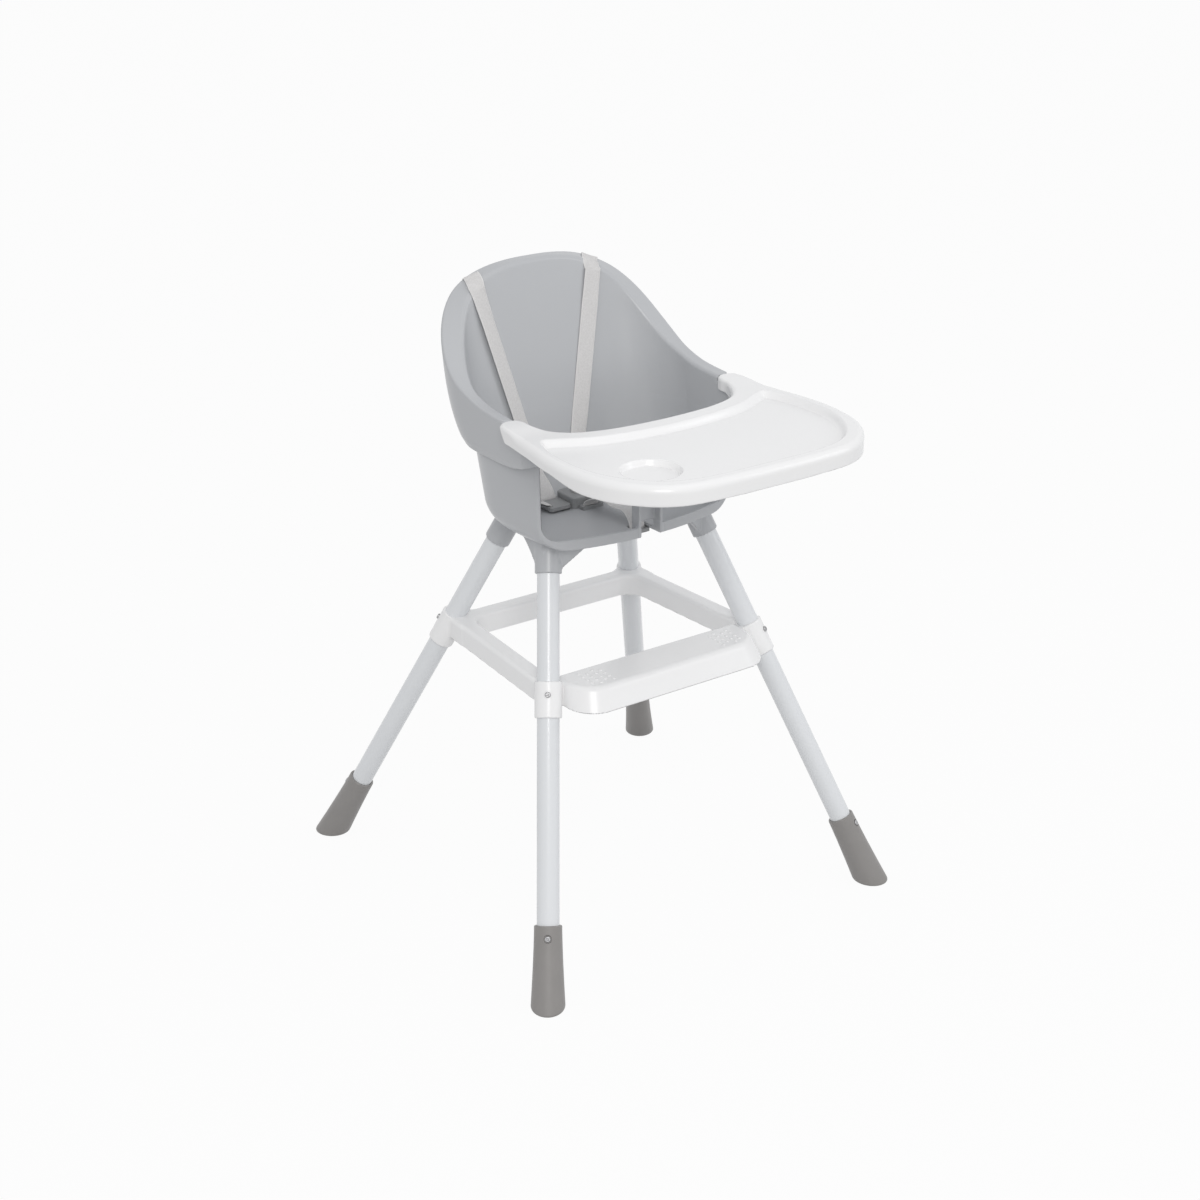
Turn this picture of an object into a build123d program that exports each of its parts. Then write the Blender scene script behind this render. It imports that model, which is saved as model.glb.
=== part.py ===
from build123d import *
from math import asin, atan2, cos, degrees, radians, sin, sqrt
import os

# Baby high chair, in millimetres. +Z is up, the floor is z = 0 and the chair faces -Y.
# Right and left are the child's own: right is -X. All places below are measured from the
# middle of the four feet, and the finished chair is then centred on its bounding box.

# Legs
leg_d = 30.0
leg_wall = 1.5
foot_front_x = 279.5
foot_rear_x = 286.5
foot_y = 289.0
socket_z = 540.0
socket_front_x = 120.8
socket_front_y = 65.2
socket_rear_x = 93.8
socket_rear_y = 64.4
fit_gap = 0.12

# Foot caps
foot_top_z = 95.0
foot_top_d = 37.0
foot_floor_d = 46.0
foot_floor_t = 14.0
foot_edge_r = 4.0
foot_mouth_r = 1.2
foot_screw_drop = 15.0
foot_recess_d = 10.5
foot_recess_t = 1.6

# Pan-head screws
screw_d = 4.0
screw_head_d = 8.0
screw_head_t = 2.4
screw_head_round = 1.6
screw_bite = 6.0
slot_share = 0.55
slot_w = 0.8

# Leg sockets under the seat
sleeve_wall = 3.0
sleeve_front_z = 506.0
sleeve_rear_z = 498.0
web_t = 4.0
web_run = 58.0
web_rise = 8.0

# Footrest ring
ring_top_z = 379.0
rail_h = 31.0
rail_w = 26.0
rail_round = 6.0
rail_wall = 3.0
rear_rail_inset = 12.0
collar_d = 36.5
collar_low_z = 336.0
step_back_y = -122.0
step_front_y = -203.0
step_half_w = 158.0
step_corner_r = 42.0
step_lean = 16.0
ring_screw_z = 363.0

# Seat base
wall = 3.0
base_bottom_z = 546.0
base_top_z = 672.0
floor_t = 6.0
base_low_half_w = 165.0
base_low_back_y = 80.0
base_top_half_w = 171.5
base_top_back_y = 105.0
base_back_r = 98.0
base_side_r = 500.0
base_edge_r = 38.0
front_side_x = 147.0
front_side_y = -104.0
front_mid_y = -130.0
front_lip_t = 6.0
front_lip_h = 15.0
front_lip_w = 8.0

# Crotch post, an open channel in the middle of the front
post_w = 39.0
post_rib_t = 4.5
post_depth = 17.0
post_back_t = 3.0
post_top_z = 660.0
post_window_z = 563.0
post_low = 2.0
post_round = 6.0

# Seat shell: back and arms
skirt_z = 657.0
crease_z = 670.0
shell_top_z = 880.0
shell_low_half_w = 175.5
shell_crease_half_w = 178.5
shell_top_half_w = 185.5
shell_low_back_y = 118.0
shell_crease_back_y = 124.0
shell_top_back_y = 161.0
shell_back_r = 92.0
shell_front_y = -112.0
shell_front_r = 24.0
inner_low_half_w = 164.5
inner_top_half_w = 164.0
inner_low_back_y = 99.0
inner_top_back_y = 144.0
inner_back_r = 82.0
rib_t = 3.0
back_rib_x = 78.0
arm_rib_y = -28.0
side_rib_y = 26.0
boss_x = 45.0
boss_out = 7.0
boss_w = 10.0
boss_h = 20.0
lug_t = 6.0
lug_w = 14.4

# Rim height around the shell: angle from straight ahead of the child's left arm, height
rim_pivot_y = 20.0
rim_heights = [
    (-50, 720), (-23, 722), (-6, 726), (10, 741), (22, 770), (32, 804), (44, 836), (60, 859), (90, 868),
]
rim_fan_in = 20.0

# Tray
tray_top_z = 718.0
tray_low_z = 692.0
tray_wall = 2.6
tray_half_w = 213.0
tray_front_y = -385.0
tray_back_y = -152.0
tray_wide_y = -225.0
tray_front_flat = 110.0
tray_front_crown = 4.0
tray_shoulder_in = 23.0
tray_shoulder_run = 58.0
tray_shoulder_bow = 11.8
tray_corner_bow = 7.5
tray_side_in = 13.0
tray_side_run = 115.0
tray_side_bow = 3.2
tray_heel_in = 31.0
tray_heel_run = 15.0
tray_heel_bow = 7.5
tray_heel_rise = 21.0
tongue_in_x = 158.5
tongue_out_x = 191.5
tongue_tip_y = -55.0
tray_edge_r = 6.0
tray_rim_w = 16.0
tray_back_rim_w = 28.0
tray_floor_drop = 9.0
recess_flat_in = 12.0
recess_corner_in = 2.0
recess_corner_rise = 43.0
recess_side_bow = 4.1
cup_x = -116.0
cup_y = -287.0
cup_d = 74.0
cup_depth = 8.0

run_gap = 0.4

# Harness webbing
strap_w = 24.0
strap_t = 1.6
strap_gap = 0.9
strap_stand = 4.0
strap_rise = 24.0
strap_low_x = 50.5
strap_low_z = 640.0
strap_mid_z = 780.0
strap_mid_in = 12.0
shoulder_x = 94.0
shoulder_slope = 0.42
slot_room = 6.0
lap_slot_x = 92.0
lap_slot_z = 592.0
crotch_slot_y = -98.0
stop_w = 36.0
stop_l = 12.0
stop_t = 5.0

# Harness buckle, lying on the seat
buckle_x = -12.0
buckle_y = 20.0
buckle_w = 52.0
buckle_l = 44.0
buckle_h = 11.0
buckle_round = 8.0
cover_h = 5.0
cover_round = 2.5
button_d = 24.0
button_h = 8.0
button_travel = 3.0
button_round = 1.5
loop_l = 12.0
loop_t = 5.0
loop_bar = 5.0
prong_w = 22.0
prong_t = 4.0
prong_l = 16.0
head_w = 40.0
head_l = 34.0
head_t = 5.0
head_edge = 6.0
head_round = 5.0

FULL = 1200.0
skin_step = 0.01
BOTTOM = (Align.CENTER, Align.CENTER, Align.MIN)
TOP = (Align.CENTER, Align.CENTER, Align.MAX)

legs = {
    "front_right": (-1, -1, foot_front_x, socket_front_x, socket_front_y, sleeve_front_z),
    "front_left": (1, -1, foot_front_x, socket_front_x, socket_front_y, sleeve_front_z),
    "rear_right": (-1, 1, foot_rear_x, socket_rear_x, socket_rear_y, sleeve_rear_z),
    "rear_left": (1, 1, foot_rear_x, socket_rear_x, socket_rear_y, sleeve_rear_z),
}


def box_between(low, high):
    size = [b - a for a, b in zip(low, high)]
    middle = [(a + b) / 2 for a, b in zip(low, high)]
    return Pos(*middle) * Box(*size)


def leg_plane(name):
    # Plane on the floor under a leg: local Z runs up the leg, local X points outward
    side, row, floor_x, top_x, top_y, _ = legs[name]
    floor_point = Vector(side * floor_x, row * foot_y, 0)
    top_point = Vector(side * top_x, row * top_y, socket_z)
    along = (top_point - floor_point).normalized()
    outward = Vector(floor_point.X - top_point.X, floor_point.Y - top_point.Y, 0).normalized()
    normal = (outward - along * outward.dot(along)).normalized()
    return Plane(origin=floor_point, x_dir=normal, z_dir=along)


def on_leg(name, height, solid):
    # Put a solid on a leg's axis, with its own origin at a height above the floor
    plane = leg_plane(name)
    return plane.location * Pos(0, 0, height / plane.z_dir.Z) * solid


def leg_length(name, low, high):
    return (high - low) / leg_plane(name).z_dir.Z


def leg_rod(name, low, high, diameter):
    return on_leg(name, low, Cylinder(diameter / 2, leg_length(name, low, high), align=BOTTOM))


def leg_point(name, height):
    plane = leg_plane(name)
    return plane.origin + plane.z_dir * (height / plane.z_dir.Z)


def cross_rod(name, height, start, end, diameter):
    # Rod square to a leg, on its outer side
    rod = Pos(start, 0, 0) * Rot(0, 90, 0) * Cylinder(diameter / 2, end - start, align=BOTTOM)
    return on_leg(name, height, rod)


def make_screw(name, height, seat):
    # Pan-head screw square to a leg, with the head's underside at a distance from the axis
    head = Cylinder(screw_head_d / 2, screw_head_t, align=BOTTOM)
    head = fillet(head.edges().sort_by(Axis.Z)[-1], screw_head_round)
    head -= Pos(0, 0, screw_head_t) * Box(screw_head_d * slot_share, slot_w, 2 * slot_w)
    head -= Pos(0, 0, screw_head_t) * Box(slot_w, screw_head_d * slot_share, 2 * slot_w)
    tip = leg_d / 2 - screw_bite
    shank = Pos(0, 0, tip - seat) * Cylinder(screw_d / 2, seat - tip, align=BOTTOM)
    return on_leg(name, height, Pos(seat, 0, 0) * Rot(0, 90, 0) * (head + shank))


def make_leg(name):
    low = foot_floor_t
    tube = leg_rod(name, low, socket_z, leg_d) - leg_rod(name, low - 1, socket_z + 1, leg_d - 2 * leg_wall)
    tube -= cross_rod(name, foot_screw_z, 0, leg_d, screw_d + 2 * fit_gap)
    tube -= cross_rod(name, ring_screw_z, 0, leg_d, screw_d + 2 * fit_gap)
    return tube


def foot_radius(height):
    return (foot_floor_d + (foot_top_d - foot_floor_d) * height / foot_top_z) / 2


foot_screw_z = foot_top_z - foot_screw_drop
foot_seat = foot_radius(foot_screw_z) - foot_recess_t
collar_seat = collar_d / 2


def make_foot(name):
    spread = foot_radius(-foot_top_z)
    length = leg_length(name, -foot_top_z, foot_top_z)
    body = on_leg(name, -foot_top_z, Cone(spread, foot_top_d / 2, length, align=BOTTOM))
    body = fillet(body.edges().group_by(Axis.Z)[-1], foot_mouth_r)
    body &= Pos(0, foot_y * legs[name][1], 0) * Box(FULL, FULL, FULL, align=BOTTOM)
    body = fillet(body.faces().sort_by(Axis.Z)[0].edges(), foot_edge_r)
    body -= leg_rod(name, foot_floor_t, foot_top_z + leg_d, leg_d + 2 * fit_gap)
    body -= cross_rod(name, foot_screw_z, foot_seat, foot_seat + foot_top_d, foot_recess_d)
    return body - cross_rod(name, foot_screw_z, 0, foot_top_d, screw_d + 2 * fit_gap)


def flat_rail(start, end, width, low, high):
    # Straight bar between two plan points, standing on edge
    run = Vector(end[0] - start[0], end[1] - start[1], 0)
    plane = Plane(origin=Vector(start[0], start[1], low), x_dir=run.normalized(), z_dir=(0, 0, 1))
    bar = Box(run.length, width, high - low, align=(Align.MIN, Align.CENTER, Align.MIN))
    return plane.location * bar


def step_plan(inset, lean, z):
    # Plan of the step, drawn in by a wall and, towards the top, by the lean of its front
    back = step_back_y - inset
    front = step_front_y + inset + lean
    half = step_half_w - inset - lean / 2
    radius = step_corner_r - inset
    outline = Polyline((-half, front + radius), (-half, back), (half, back), (half, front + radius))
    outline += CenterArc((half - radius, front + radius), radius, 0, -90)
    outline += Line((half - radius, front), (radius - half, front))
    outline += CenterArc((radius - half, front + radius), radius, -90, -90)
    return Pos(0, 0, z) * make_face(outline)


def step_body(inset, low, high):
    return loft([step_plan(inset, 0, low), step_plan(inset, step_lean, high)])


def make_ring():
    low = ring_top_z - rail_h
    corner = {name: leg_point(name, ring_top_z) for name in legs}
    front_left, rear_left = corner["front_left"], corner["rear_left"]
    rear_y = rear_left.Y - rear_rail_inset
    runs = []
    for side in (-1, 1):
        runs.append(((side * front_left.X, front_left.Y), (side * rear_left.X, rear_left.Y)))
    runs.append(((-rear_left.X, rear_y), (rear_left.X, rear_y)))
    ring = None
    hollow = None
    for start, end in runs:
        bar = flat_rail(start, end, rail_w, low, ring_top_z)
        top = bar.faces().sort_by(Axis.Z)[-1]
        bar = fillet(top.edges(), rail_round)
        gap = flat_rail(start, end, rail_w - 2 * rail_wall, low - rail_wall, ring_top_z - rail_wall)
        ring = bar if ring is None else ring + bar
        hollow = gap if hollow is None else hollow + gap
    step = step_body(0, low, ring_top_z)
    step = fillet(step.faces().sort_by(Axis.Z)[-1].edges(), rail_round)
    ring += step
    hollow += step_body(rail_wall, low - rail_wall, ring_top_z - rail_wall)
    ring -= hollow
    for name in legs:
        ring += leg_rod(name, collar_low_z, ring_top_z, collar_d)
    for name in legs:
        ring -= leg_rod(name, collar_low_z - rail_h, ring_top_z + rail_h, leg_d + 2 * fit_gap)
        ring -= cross_rod(name, ring_screw_z, 0, collar_d, screw_d + 2 * fit_gap)
        ring -= cross_rod(name, ring_screw_z, collar_seat, collar_d, screw_head_d + 4 * fit_gap)
    return ring


def between(z, low_z, high_z, low, high):
    # Straight blend of a size between two heights
    return low + (high - low) * (z - low_z) / (high_z - low_z)


def base_back_y(z):
    return between(z, base_bottom_z, base_top_z, base_low_back_y, base_top_back_y)


def bucket_plan(half_w, back_y, back_r, side_r, z):
    # Plan of the bucket: flat back, round rear corners, sides that close in towards the front
    turn_y = back_y - back_r
    end_y = front_mid_y - 1
    end_x = half_w - side_r + sqrt(side_r**2 - (turn_y - end_y) ** 2)
    middle = asin((end_y - turn_y) / side_r) / 2
    mid_x = half_w - side_r + side_r * cos(middle)
    mid_y = turn_y + side_r * sin(middle)
    outline = Line((back_r - half_w, back_y), (half_w - back_r, back_y))
    outline += CenterArc((half_w - back_r, turn_y), back_r, 90, -90)
    outline += ThreePointArc((half_w, turn_y), (mid_x, mid_y), (end_x, end_y))
    outline += Line((end_x, end_y), (-end_x, end_y))
    outline += ThreePointArc((-end_x, end_y), (-mid_x, mid_y), (-half_w, turn_y))
    outline += CenterArc((back_r - half_w, turn_y), back_r, 180, -90)
    return Pos(0, 0, z) * make_face(outline)


def bucket(inset, low, high, edge_r):
    # Bucket body, inset from the outside, between two heights, with a round lower edge
    def at(z, extra):
        half_w = between(z, base_bottom_z, base_top_z, base_low_half_w, base_top_half_w) - inset - extra
        back_y = base_back_y(z) - inset - extra
        return bucket_plan(half_w, back_y, base_back_r - inset - extra, base_side_r - inset - extra, z)

    edge = []
    for turn in (0, 22.5, 45, 67.5, 90):
        rise = edge_r * (1 - cos(radians(turn)))
        edge.append(at(low + rise, edge_r * (1 - sin(radians(turn)))))
    return loft(edge) + loft([edge[-1], at(high, 0)])


def front_limit(inset):
    # Everything behind the bowed front of the base
    bow = ThreePointArc(
        (-front_side_x, front_side_y + inset),
        (0, front_mid_y + inset),
        (front_side_x, front_side_y + inset),
    )
    plan = bow + Polyline(
        (front_side_x, front_side_y + inset),
        (FULL / 2, front_side_y + inset),
        (FULL / 2, FULL / 2),
        (-FULL / 2, FULL / 2),
        (-FULL / 2, front_side_y + inset),
        (-front_side_x, front_side_y + inset),
    )
    return extrude(make_face(plan), FULL)


def make_web(name, toward_x, toward_y):
    # Triangular web between a sleeve and the underside of the seat
    sleeve_z = legs[name][5]
    top = leg_point(name, base_bottom_z + floor_t)
    low = leg_point(name, sleeve_z + web_rise)
    span = Vector(toward_x, toward_y, 0).normalized() * web_run
    start = Vector(low.X, low.Y, 0)
    plane = Plane(origin=start, x_dir=span.normalized(), z_dir=span.cross(Vector(0, 0, 1)))
    outline = Polyline((0, low.Z), (leg_d / 2, low.Z), (web_run, top.Z), (0, top.Z), close=True)
    return extrude(plane * make_face(outline), web_t / 2, both=True)


def make_base():
    floor_z = base_bottom_z + floor_t
    outside = bucket(0, base_bottom_z, base_top_z, base_edge_r)
    inside = bucket(wall, floor_z, base_top_z + 1, base_edge_r - wall)
    lip_z = base_bottom_z + front_lip_h
    mouth = bucket(front_lip_w, lip_z, base_top_z + 1, base_edge_r - front_lip_w)
    under = []
    for name, (side, row, _, _, _, sleeve_z) in legs.items():
        under.append(leg_rod(name, sleeve_z, socket_z + base_edge_r / 2, leg_d + 2 * sleeve_wall))
        under.append(make_web(name, -side, 0))
        under.append(make_web(name, 0, -row))
    body = (outside & front_limit(0)).cut(inside & front_limit(front_lip_t), mouth)
    core = bucket(wall / 2, floor_z - floor_t / 2, base_top_z + 1, base_edge_r - wall / 2)
    body += under[0].fuse(*under[1:]) - core
    lugs = [lug_block(side) for side in (-1, 1)]
    body = body.fuse(make_post(), *lugs)
    holes = [leg_rod(n, leg[5] - leg_d, socket_z, leg_d + 2 * fit_gap) for n, leg in legs.items()]
    half = post_w / 2 - post_rib_t
    window_y = crotch_slot_y - 2 * strap_t
    holes.append(box_between((-half, front_mid_y - 1, 0), (half, window_y, post_window_z)))
    slot = (strap_w + slot_room, strap_t + slot_room)
    holes.append(Pos(0, crotch_slot_y, base_bottom_z) * Box(slot[0], slot[1], 3 * floor_t))
    for side in (-1, 1):
        lap_slot = Box(slot[0], base_back_r, slot[1])
        holes.append(Pos(side * lap_slot_x, base_back_y(lap_slot_z), lap_slot_z) * lap_slot)
        hole = Cylinder(screw_d / 2 + fit_gap, 3 * lug_t)
        holes.append(Pos(side * boss_x, boss_y, base_top_z) * hole)
    return body.cut(*holes)


boss_y = base_top_back_y + boss_out


def lug_block(side):
    # Lug on the back of the base for one shell screw
    half = lug_w / 2
    low = (side * boss_x - half, base_top_back_y - wall, base_top_z - lug_t)
    return box_between(low, (side * boss_x + half, boss_y + screw_head_d / 2, base_top_z))


def make_shell_screw(side):
    head = Cylinder(screw_head_d / 2, screw_head_t, align=TOP)
    head = fillet(head.edges().sort_by(Axis.Z)[0], screw_head_round)
    shank = Cylinder(screw_d / 2, lug_t + boss_h - 2 * screw_d, align=BOTTOM)
    return Pos(side * boss_x, boss_y, base_top_z - lug_t) * (head + shank)


def make_post():
    low = base_bottom_z + post_low
    half = post_w / 2
    back_y = front_mid_y + post_depth
    post = box_between((-half, front_mid_y, low), (half, back_y, post_top_z))
    post = fillet(post.edges().filter_by(Axis.X).group_by(Axis.Z)[-1], post_round)
    inner = half - post_rib_t
    start = (-inner, front_mid_y - 1, low - 1)
    post -= box_between(start, (inner, back_y - post_back_t, post_top_z - post_round))
    return post - box_between(start, (inner, back_y + 1, post_window_z))


def shell_plan(half_w, back_y, back_r, front_y, front_r, z):
    turn_y = back_y - back_r
    outline = Line((back_r - half_w, back_y), (half_w - back_r, back_y))
    outline += CenterArc((half_w - back_r, turn_y), back_r, 90, -90)
    outline += Line((half_w, turn_y), (half_w, front_y + front_r))
    outline += CenterArc((half_w - front_r, front_y + front_r), front_r, 0, -90)
    outline += Line((half_w - front_r, front_y), (front_r - half_w, front_y))
    outline += CenterArc((front_r - half_w, front_y + front_r), front_r, -90, -90)
    outline += Line((-half_w, front_y + front_r), (-half_w, turn_y))
    outline += CenterArc((back_r - half_w, turn_y), back_r, 180, -90)
    return Pos(0, 0, z) * make_face(outline)


def shell_outside(inset):
    def at(half_w, back_y, z):
        radius = shell_back_r - inset
        front_y = shell_front_y + inset
        return shell_plan(half_w - inset, back_y - inset, radius, front_y, shell_front_r - inset, z)

    crease = at(shell_crease_half_w, shell_crease_back_y, crease_z)
    low = at(shell_low_half_w, shell_low_back_y, skirt_z - inset * skin_step)
    top = at(shell_top_half_w, shell_top_back_y, shell_top_z + inset * skin_step)
    return loft([low, crease]) + loft([crease, top])


def shell_inside(grow):
    # The room for the child, open at the front
    def at(half_w, back_y, z):
        radius = inner_back_r + grow
        front_y = shell_front_y - FULL / 4
        return shell_plan(half_w + grow, back_y + grow, radius, front_y, shell_front_r, z)

    low = at(inner_low_half_w, inner_low_back_y, skirt_z - 1)
    top = at(inner_top_half_w, inner_top_back_y, shell_top_z + 1)
    return loft([low, top])


def above_rim(drop):
    # Everything above the rim line, lowered by a wall thickness
    sections = []
    other_side = [(180 - angle, height) for angle, height in reversed(rim_heights[:-1])]
    for angle, height in rim_heights + other_side:
        turn = radians(angle)
        out = Vector(cos(turn), sin(turn), 0)
        start = Vector(0, rim_pivot_y, height - drop)
        plane = Plane(origin=start, x_dir=out, z_dir=out.cross(Vector(0, 0, 1)))
        far = FULL / 3
        outline = Polyline((rim_fan_in, 0), (far, 0), (far, far), (rim_fan_in, far), close=True)
        sections.append(plane * make_face(outline))
    return loft(sections, ruled=True)


def make_shell():
    body = shell_outside(0) - shell_inside(0)
    # Below the top of the base only the outer skirt goes on down
    body -= shell_outside(wall) & box_between((-FULL, -FULL, 0), (FULL, FULL, base_top_z))
    hollow = shell_outside(wall) - shell_inside(wall)
    hollow -= above_rim(wall)
    kept = [Pos(x, 0, base_top_z) * Box(rib_t, FULL, FULL, align=BOTTOM) for x in (-back_rib_x, back_rib_x)]
    kept += [Pos(0, y, base_top_z) * Box(FULL, rib_t, FULL, align=BOTTOM) for y in (arm_rib_y, side_rib_y)]
    for side in (-1, 1):
        kept.append(Pos(side * boss_x, boss_y, base_top_z) * Box(boss_w, FULL, boss_h, align=BOTTOM))
    body -= hollow.cut(*kept)
    body -= above_rim(0)
    seat_z = tray_top_z - tray_wall - run_gap
    body -= box_between((-FULL, -FULL, seat_z), (FULL, tongue_tip_y + run_gap, FULL))
    for side in (-1, 1):
        hole = Cylinder(screw_d / 2 + fit_gap, boss_h - screw_d, align=BOTTOM)
        body -= Pos(side * boss_x, boss_y, base_top_z) * hole
    return body


def rounded_front(half, front, flat):
    # One side of the tray's round front, from its widest place to the flat stretch
    shoulder = (half - tray_shoulder_in, front + tray_shoulder_run)
    corner = SagittaArc((half, tray_wide_y), shoulder, tray_corner_bow)
    return corner + SagittaArc(shoulder, (flat, front + tray_front_crown), tray_shoulder_bow)


def crowned_front(front, flat):
    return ThreePointArc((-flat, front + tray_front_crown), (0, front), (flat, front + tray_front_crown))


tongue_x = (tongue_in_x + tongue_out_x) / 2
tongue_half_w = (tongue_out_x - tongue_in_x) / 2


def tray_plan(inset, z):
    # Plan of the tray with its two tongues, drawn in from the edge
    half = tray_half_w - inset
    front = tray_front_y + inset
    radius = tongue_half_w - inset
    root = tongue_tip_y - tongue_half_w
    neck = (half - tray_side_in, tray_wide_y + tray_side_run)
    inner = (tongue_x - radius, root - tray_heel_run + inset)
    heel = (tongue_x - radius - tray_heel_in, tray_back_y + tray_heel_rise - inset)
    right = Line((tongue_x + radius, root), neck)
    right += SagittaArc(neck, (half, tray_wide_y), tray_side_bow)
    right += rounded_front(half, front, tray_front_flat)
    right += SagittaArc(inner, heel, tray_heel_bow)
    right += Line(inner, (tongue_x - radius, root))
    right += ThreePointArc((tongue_x - radius, root), (tongue_x, root + radius), (tongue_x + radius, root))
    outline = right + mirror(right, about=Plane.YZ)
    outline += crowned_front(front, tray_front_flat)
    outline += ThreePointArc((-heel[0], heel[1]), (0, tray_back_y - inset), heel)
    return Pos(0, 0, z) * make_face(outline)


def recess_plan(z, grow=0):
    # The sunk eating surface, with its rear corners drawn out towards the tongues
    half = tray_half_w - tray_rim_w + grow
    front = tray_front_y + tray_rim_w - grow
    back = tray_back_y - tray_back_rim_w + grow
    flat = tray_front_flat - recess_flat_in
    corner = (tongue_x - recess_corner_in + grow, back + recess_corner_rise)
    right = SagittaArc(corner, (half, tray_wide_y), recess_side_bow) + rounded_front(half, front, flat)
    outline = right + mirror(right, about=Plane.YZ)
    outline += crowned_front(front, flat)
    outline += ThreePointArc((-corner[0], corner[1]), (0, back), corner)
    return Pos(0, 0, z) * make_face(outline)


def make_tray():
    height = tray_top_z - tray_low_z
    floor_z = tray_top_z - tray_floor_drop
    body = extrude(tray_plan(0, tray_low_z), height)
    body = fillet(body.faces().sort_by(Axis.Z)[-1].edges(), tray_edge_r)
    under = extrude(tray_plan(tray_wall, tray_low_z - 1), height + 1 - tray_wall)
    sunk = extrude(recess_plan(floor_z - tray_wall, tray_wall), height)
    body -= under - sunk
    body -= extrude(recess_plan(floor_z), height)
    # The tongues are open at the end, where the arms come in
    for side in (-1, 1):
        low = (inner_top_half_w - 4 * run_gap, shell_front_y - tray_wall, 0)
        gap = box_between(low, (shell_top_half_w, 0, tray_top_z - tray_wall))
        body -= gap if side > 0 else mirror(gap, about=Plane.YZ)
    cup = Pos(cup_x, cup_y, floor_z - cup_depth - tray_wall)
    body += cup * Cylinder(cup_d / 2 + tray_wall, cup_depth + tray_wall, align=BOTTOM)
    return body - Pos(cup_x, cup_y, floor_z - cup_depth) * Cylinder(cup_d / 2, FULL, align=BOTTOM)


def ribbon(stations):
    # Flat webbing through stations of a centre point and a direction across
    faces = []
    for i, (point, across) in enumerate(stations):
        before = Vector(stations[max(i - 1, 0)][0])
        after = Vector(stations[min(i + 1, len(stations) - 1)][0])
        run = (after - before).normalized()
        across = Vector(across)
        across = (across - run * across.dot(run)).normalized()
        faces.append(Plane(origin=point, x_dir=across, z_dir=run) * Rectangle(strap_w, strap_t))
    return loft(faces, ruled=True)


seat_z = base_bottom_z + floor_t
head_mid_z = seat_z + buckle_h / 2
head_root_x = buckle_w / 2 + run_gap
lap_bar_x = head_root_x + head_l - head_edge
shoulder_bar_x = head_root_x + head_l / 2
shoulder_bar_y = head_w / 2 - head_edge


def round_off(x, half_w, radius):
    # How far a rounded rear corner lies ahead of the flat back
    past = max(x - (half_w - radius), 0)
    return radius - sqrt(radius**2 - past**2)


def inner_wall_y(x, z):
    back_y = between(z, skirt_z, shell_top_z, inner_low_back_y, inner_top_back_y)
    return back_y - round_off(x, inner_top_half_w, inner_back_r)


def outer_wall_y(z):
    return between(z, crease_z, shell_top_z, shell_crease_back_y, shell_top_back_y)


def rim_z(x, y):
    # Height of the rim over a place in plan
    turn = degrees(atan2(y - rim_pivot_y, x))
    for (low, low_z), (high, high_z) in zip(rim_heights, rim_heights[1:]):
        if low <= turn <= high:
            return between(turn, low, high, low_z, high_z)


def make_harness_strap(side):
    # From the tongue up over the rim, down behind the back, in through the slot and on across the lap
    bar_x = buckle_x + side * shoulder_bar_x
    bar_y = buckle_y + shoulder_bar_y
    lap_x = buckle_x + side * lap_bar_x
    slot_x = side * lap_slot_x
    over_x = side * shoulder_x
    edge_x = shoulder_x + strap_w / 2
    top = head_mid_z + head_t / 2 + 2 * strap_t
    low_x = side * strap_low_x + buckle_x
    mid_x = side * (shoulder_x - strap_mid_in)
    front_z = rim_z(shoulder_x, inner_wall_y(edge_x, strap_mid_z))
    front_y = inner_wall_y(edge_x, front_z)
    back_y = outer_wall_y(front_z)
    crest_z = rim_z(shoulder_x, back_y) + strap_stand
    slot_y = base_back_y(lap_slot_z) - wall
    tilt = (1, 0, -shoulder_slope * side)
    level = (1, 0, 0)
    stations = [
        ((bar_x, bar_y, head_mid_z - head_t / 2), level),
        ((bar_x, bar_y, top), level),
        ((bar_x, bar_y + strap_rise / 2, top + strap_rise), level),
        ((low_x, base_back_y(strap_low_z) - wall - strap_stand, strap_low_z), level),
        ((mid_x, inner_wall_y(edge_x, strap_mid_z) - strap_stand / 2, strap_mid_z), level),
        ((over_x, front_y - strap_stand, front_z), tilt),
        ((over_x, front_y, front_z + 2 * strap_stand), tilt),
        ((over_x, (front_y + back_y) / 2, crest_z), tilt),
        ((over_x, back_y + strap_stand / 2, crest_z), tilt),
        ((over_x, back_y + strap_stand, crest_z - 2 * strap_stand), tilt),
        ((over_x, outer_wall_y(strap_mid_z) + strap_stand, strap_mid_z), level),
        ((over_x, outer_wall_y(crease_z) + strap_stand, crease_z), level),
        ((over_x, shell_low_back_y + strap_stand, skirt_z - strap_stand), level),
        ((slot_x, slot_y + 3 * strap_stand, lap_slot_z + 3 * strap_stand), level),
        ((slot_x, slot_y + 2 * strap_stand, lap_slot_z), level),
        ((slot_x, slot_y, lap_slot_z), level),
        ((slot_x, slot_y - 3 * strap_stand, lap_slot_z - strap_t), level),
    ]
    reach = slot_y - 3 * strap_stand - buckle_y
    fall = lap_slot_z - top
    lap_turns = [(0.06, 0.68, 0.5, 4), (0.28, 0.4, 0.22, 35), (0.6, 0.08, 0.06, 72)]
    for x_share, y_share, z_share, turn in lap_turns:
        place = (slot_x + (lap_x - slot_x) * x_share, buckle_y + reach * y_share, top + fall * z_share)
        stations.append((place, (cos(radians(turn)), -side * sin(radians(turn)), 0)))
    stations.append(((lap_x + side * head_edge, buckle_y, top), (0, -side, 0)))
    stations.append(((lap_x + side * strap_t / 2, buckle_y, top - strap_t), (0, -side, 0)))
    stations.append(((lap_x, buckle_y, head_mid_z - head_t / 2), (0, -side, 0)))
    return ribbon(stations)


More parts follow.
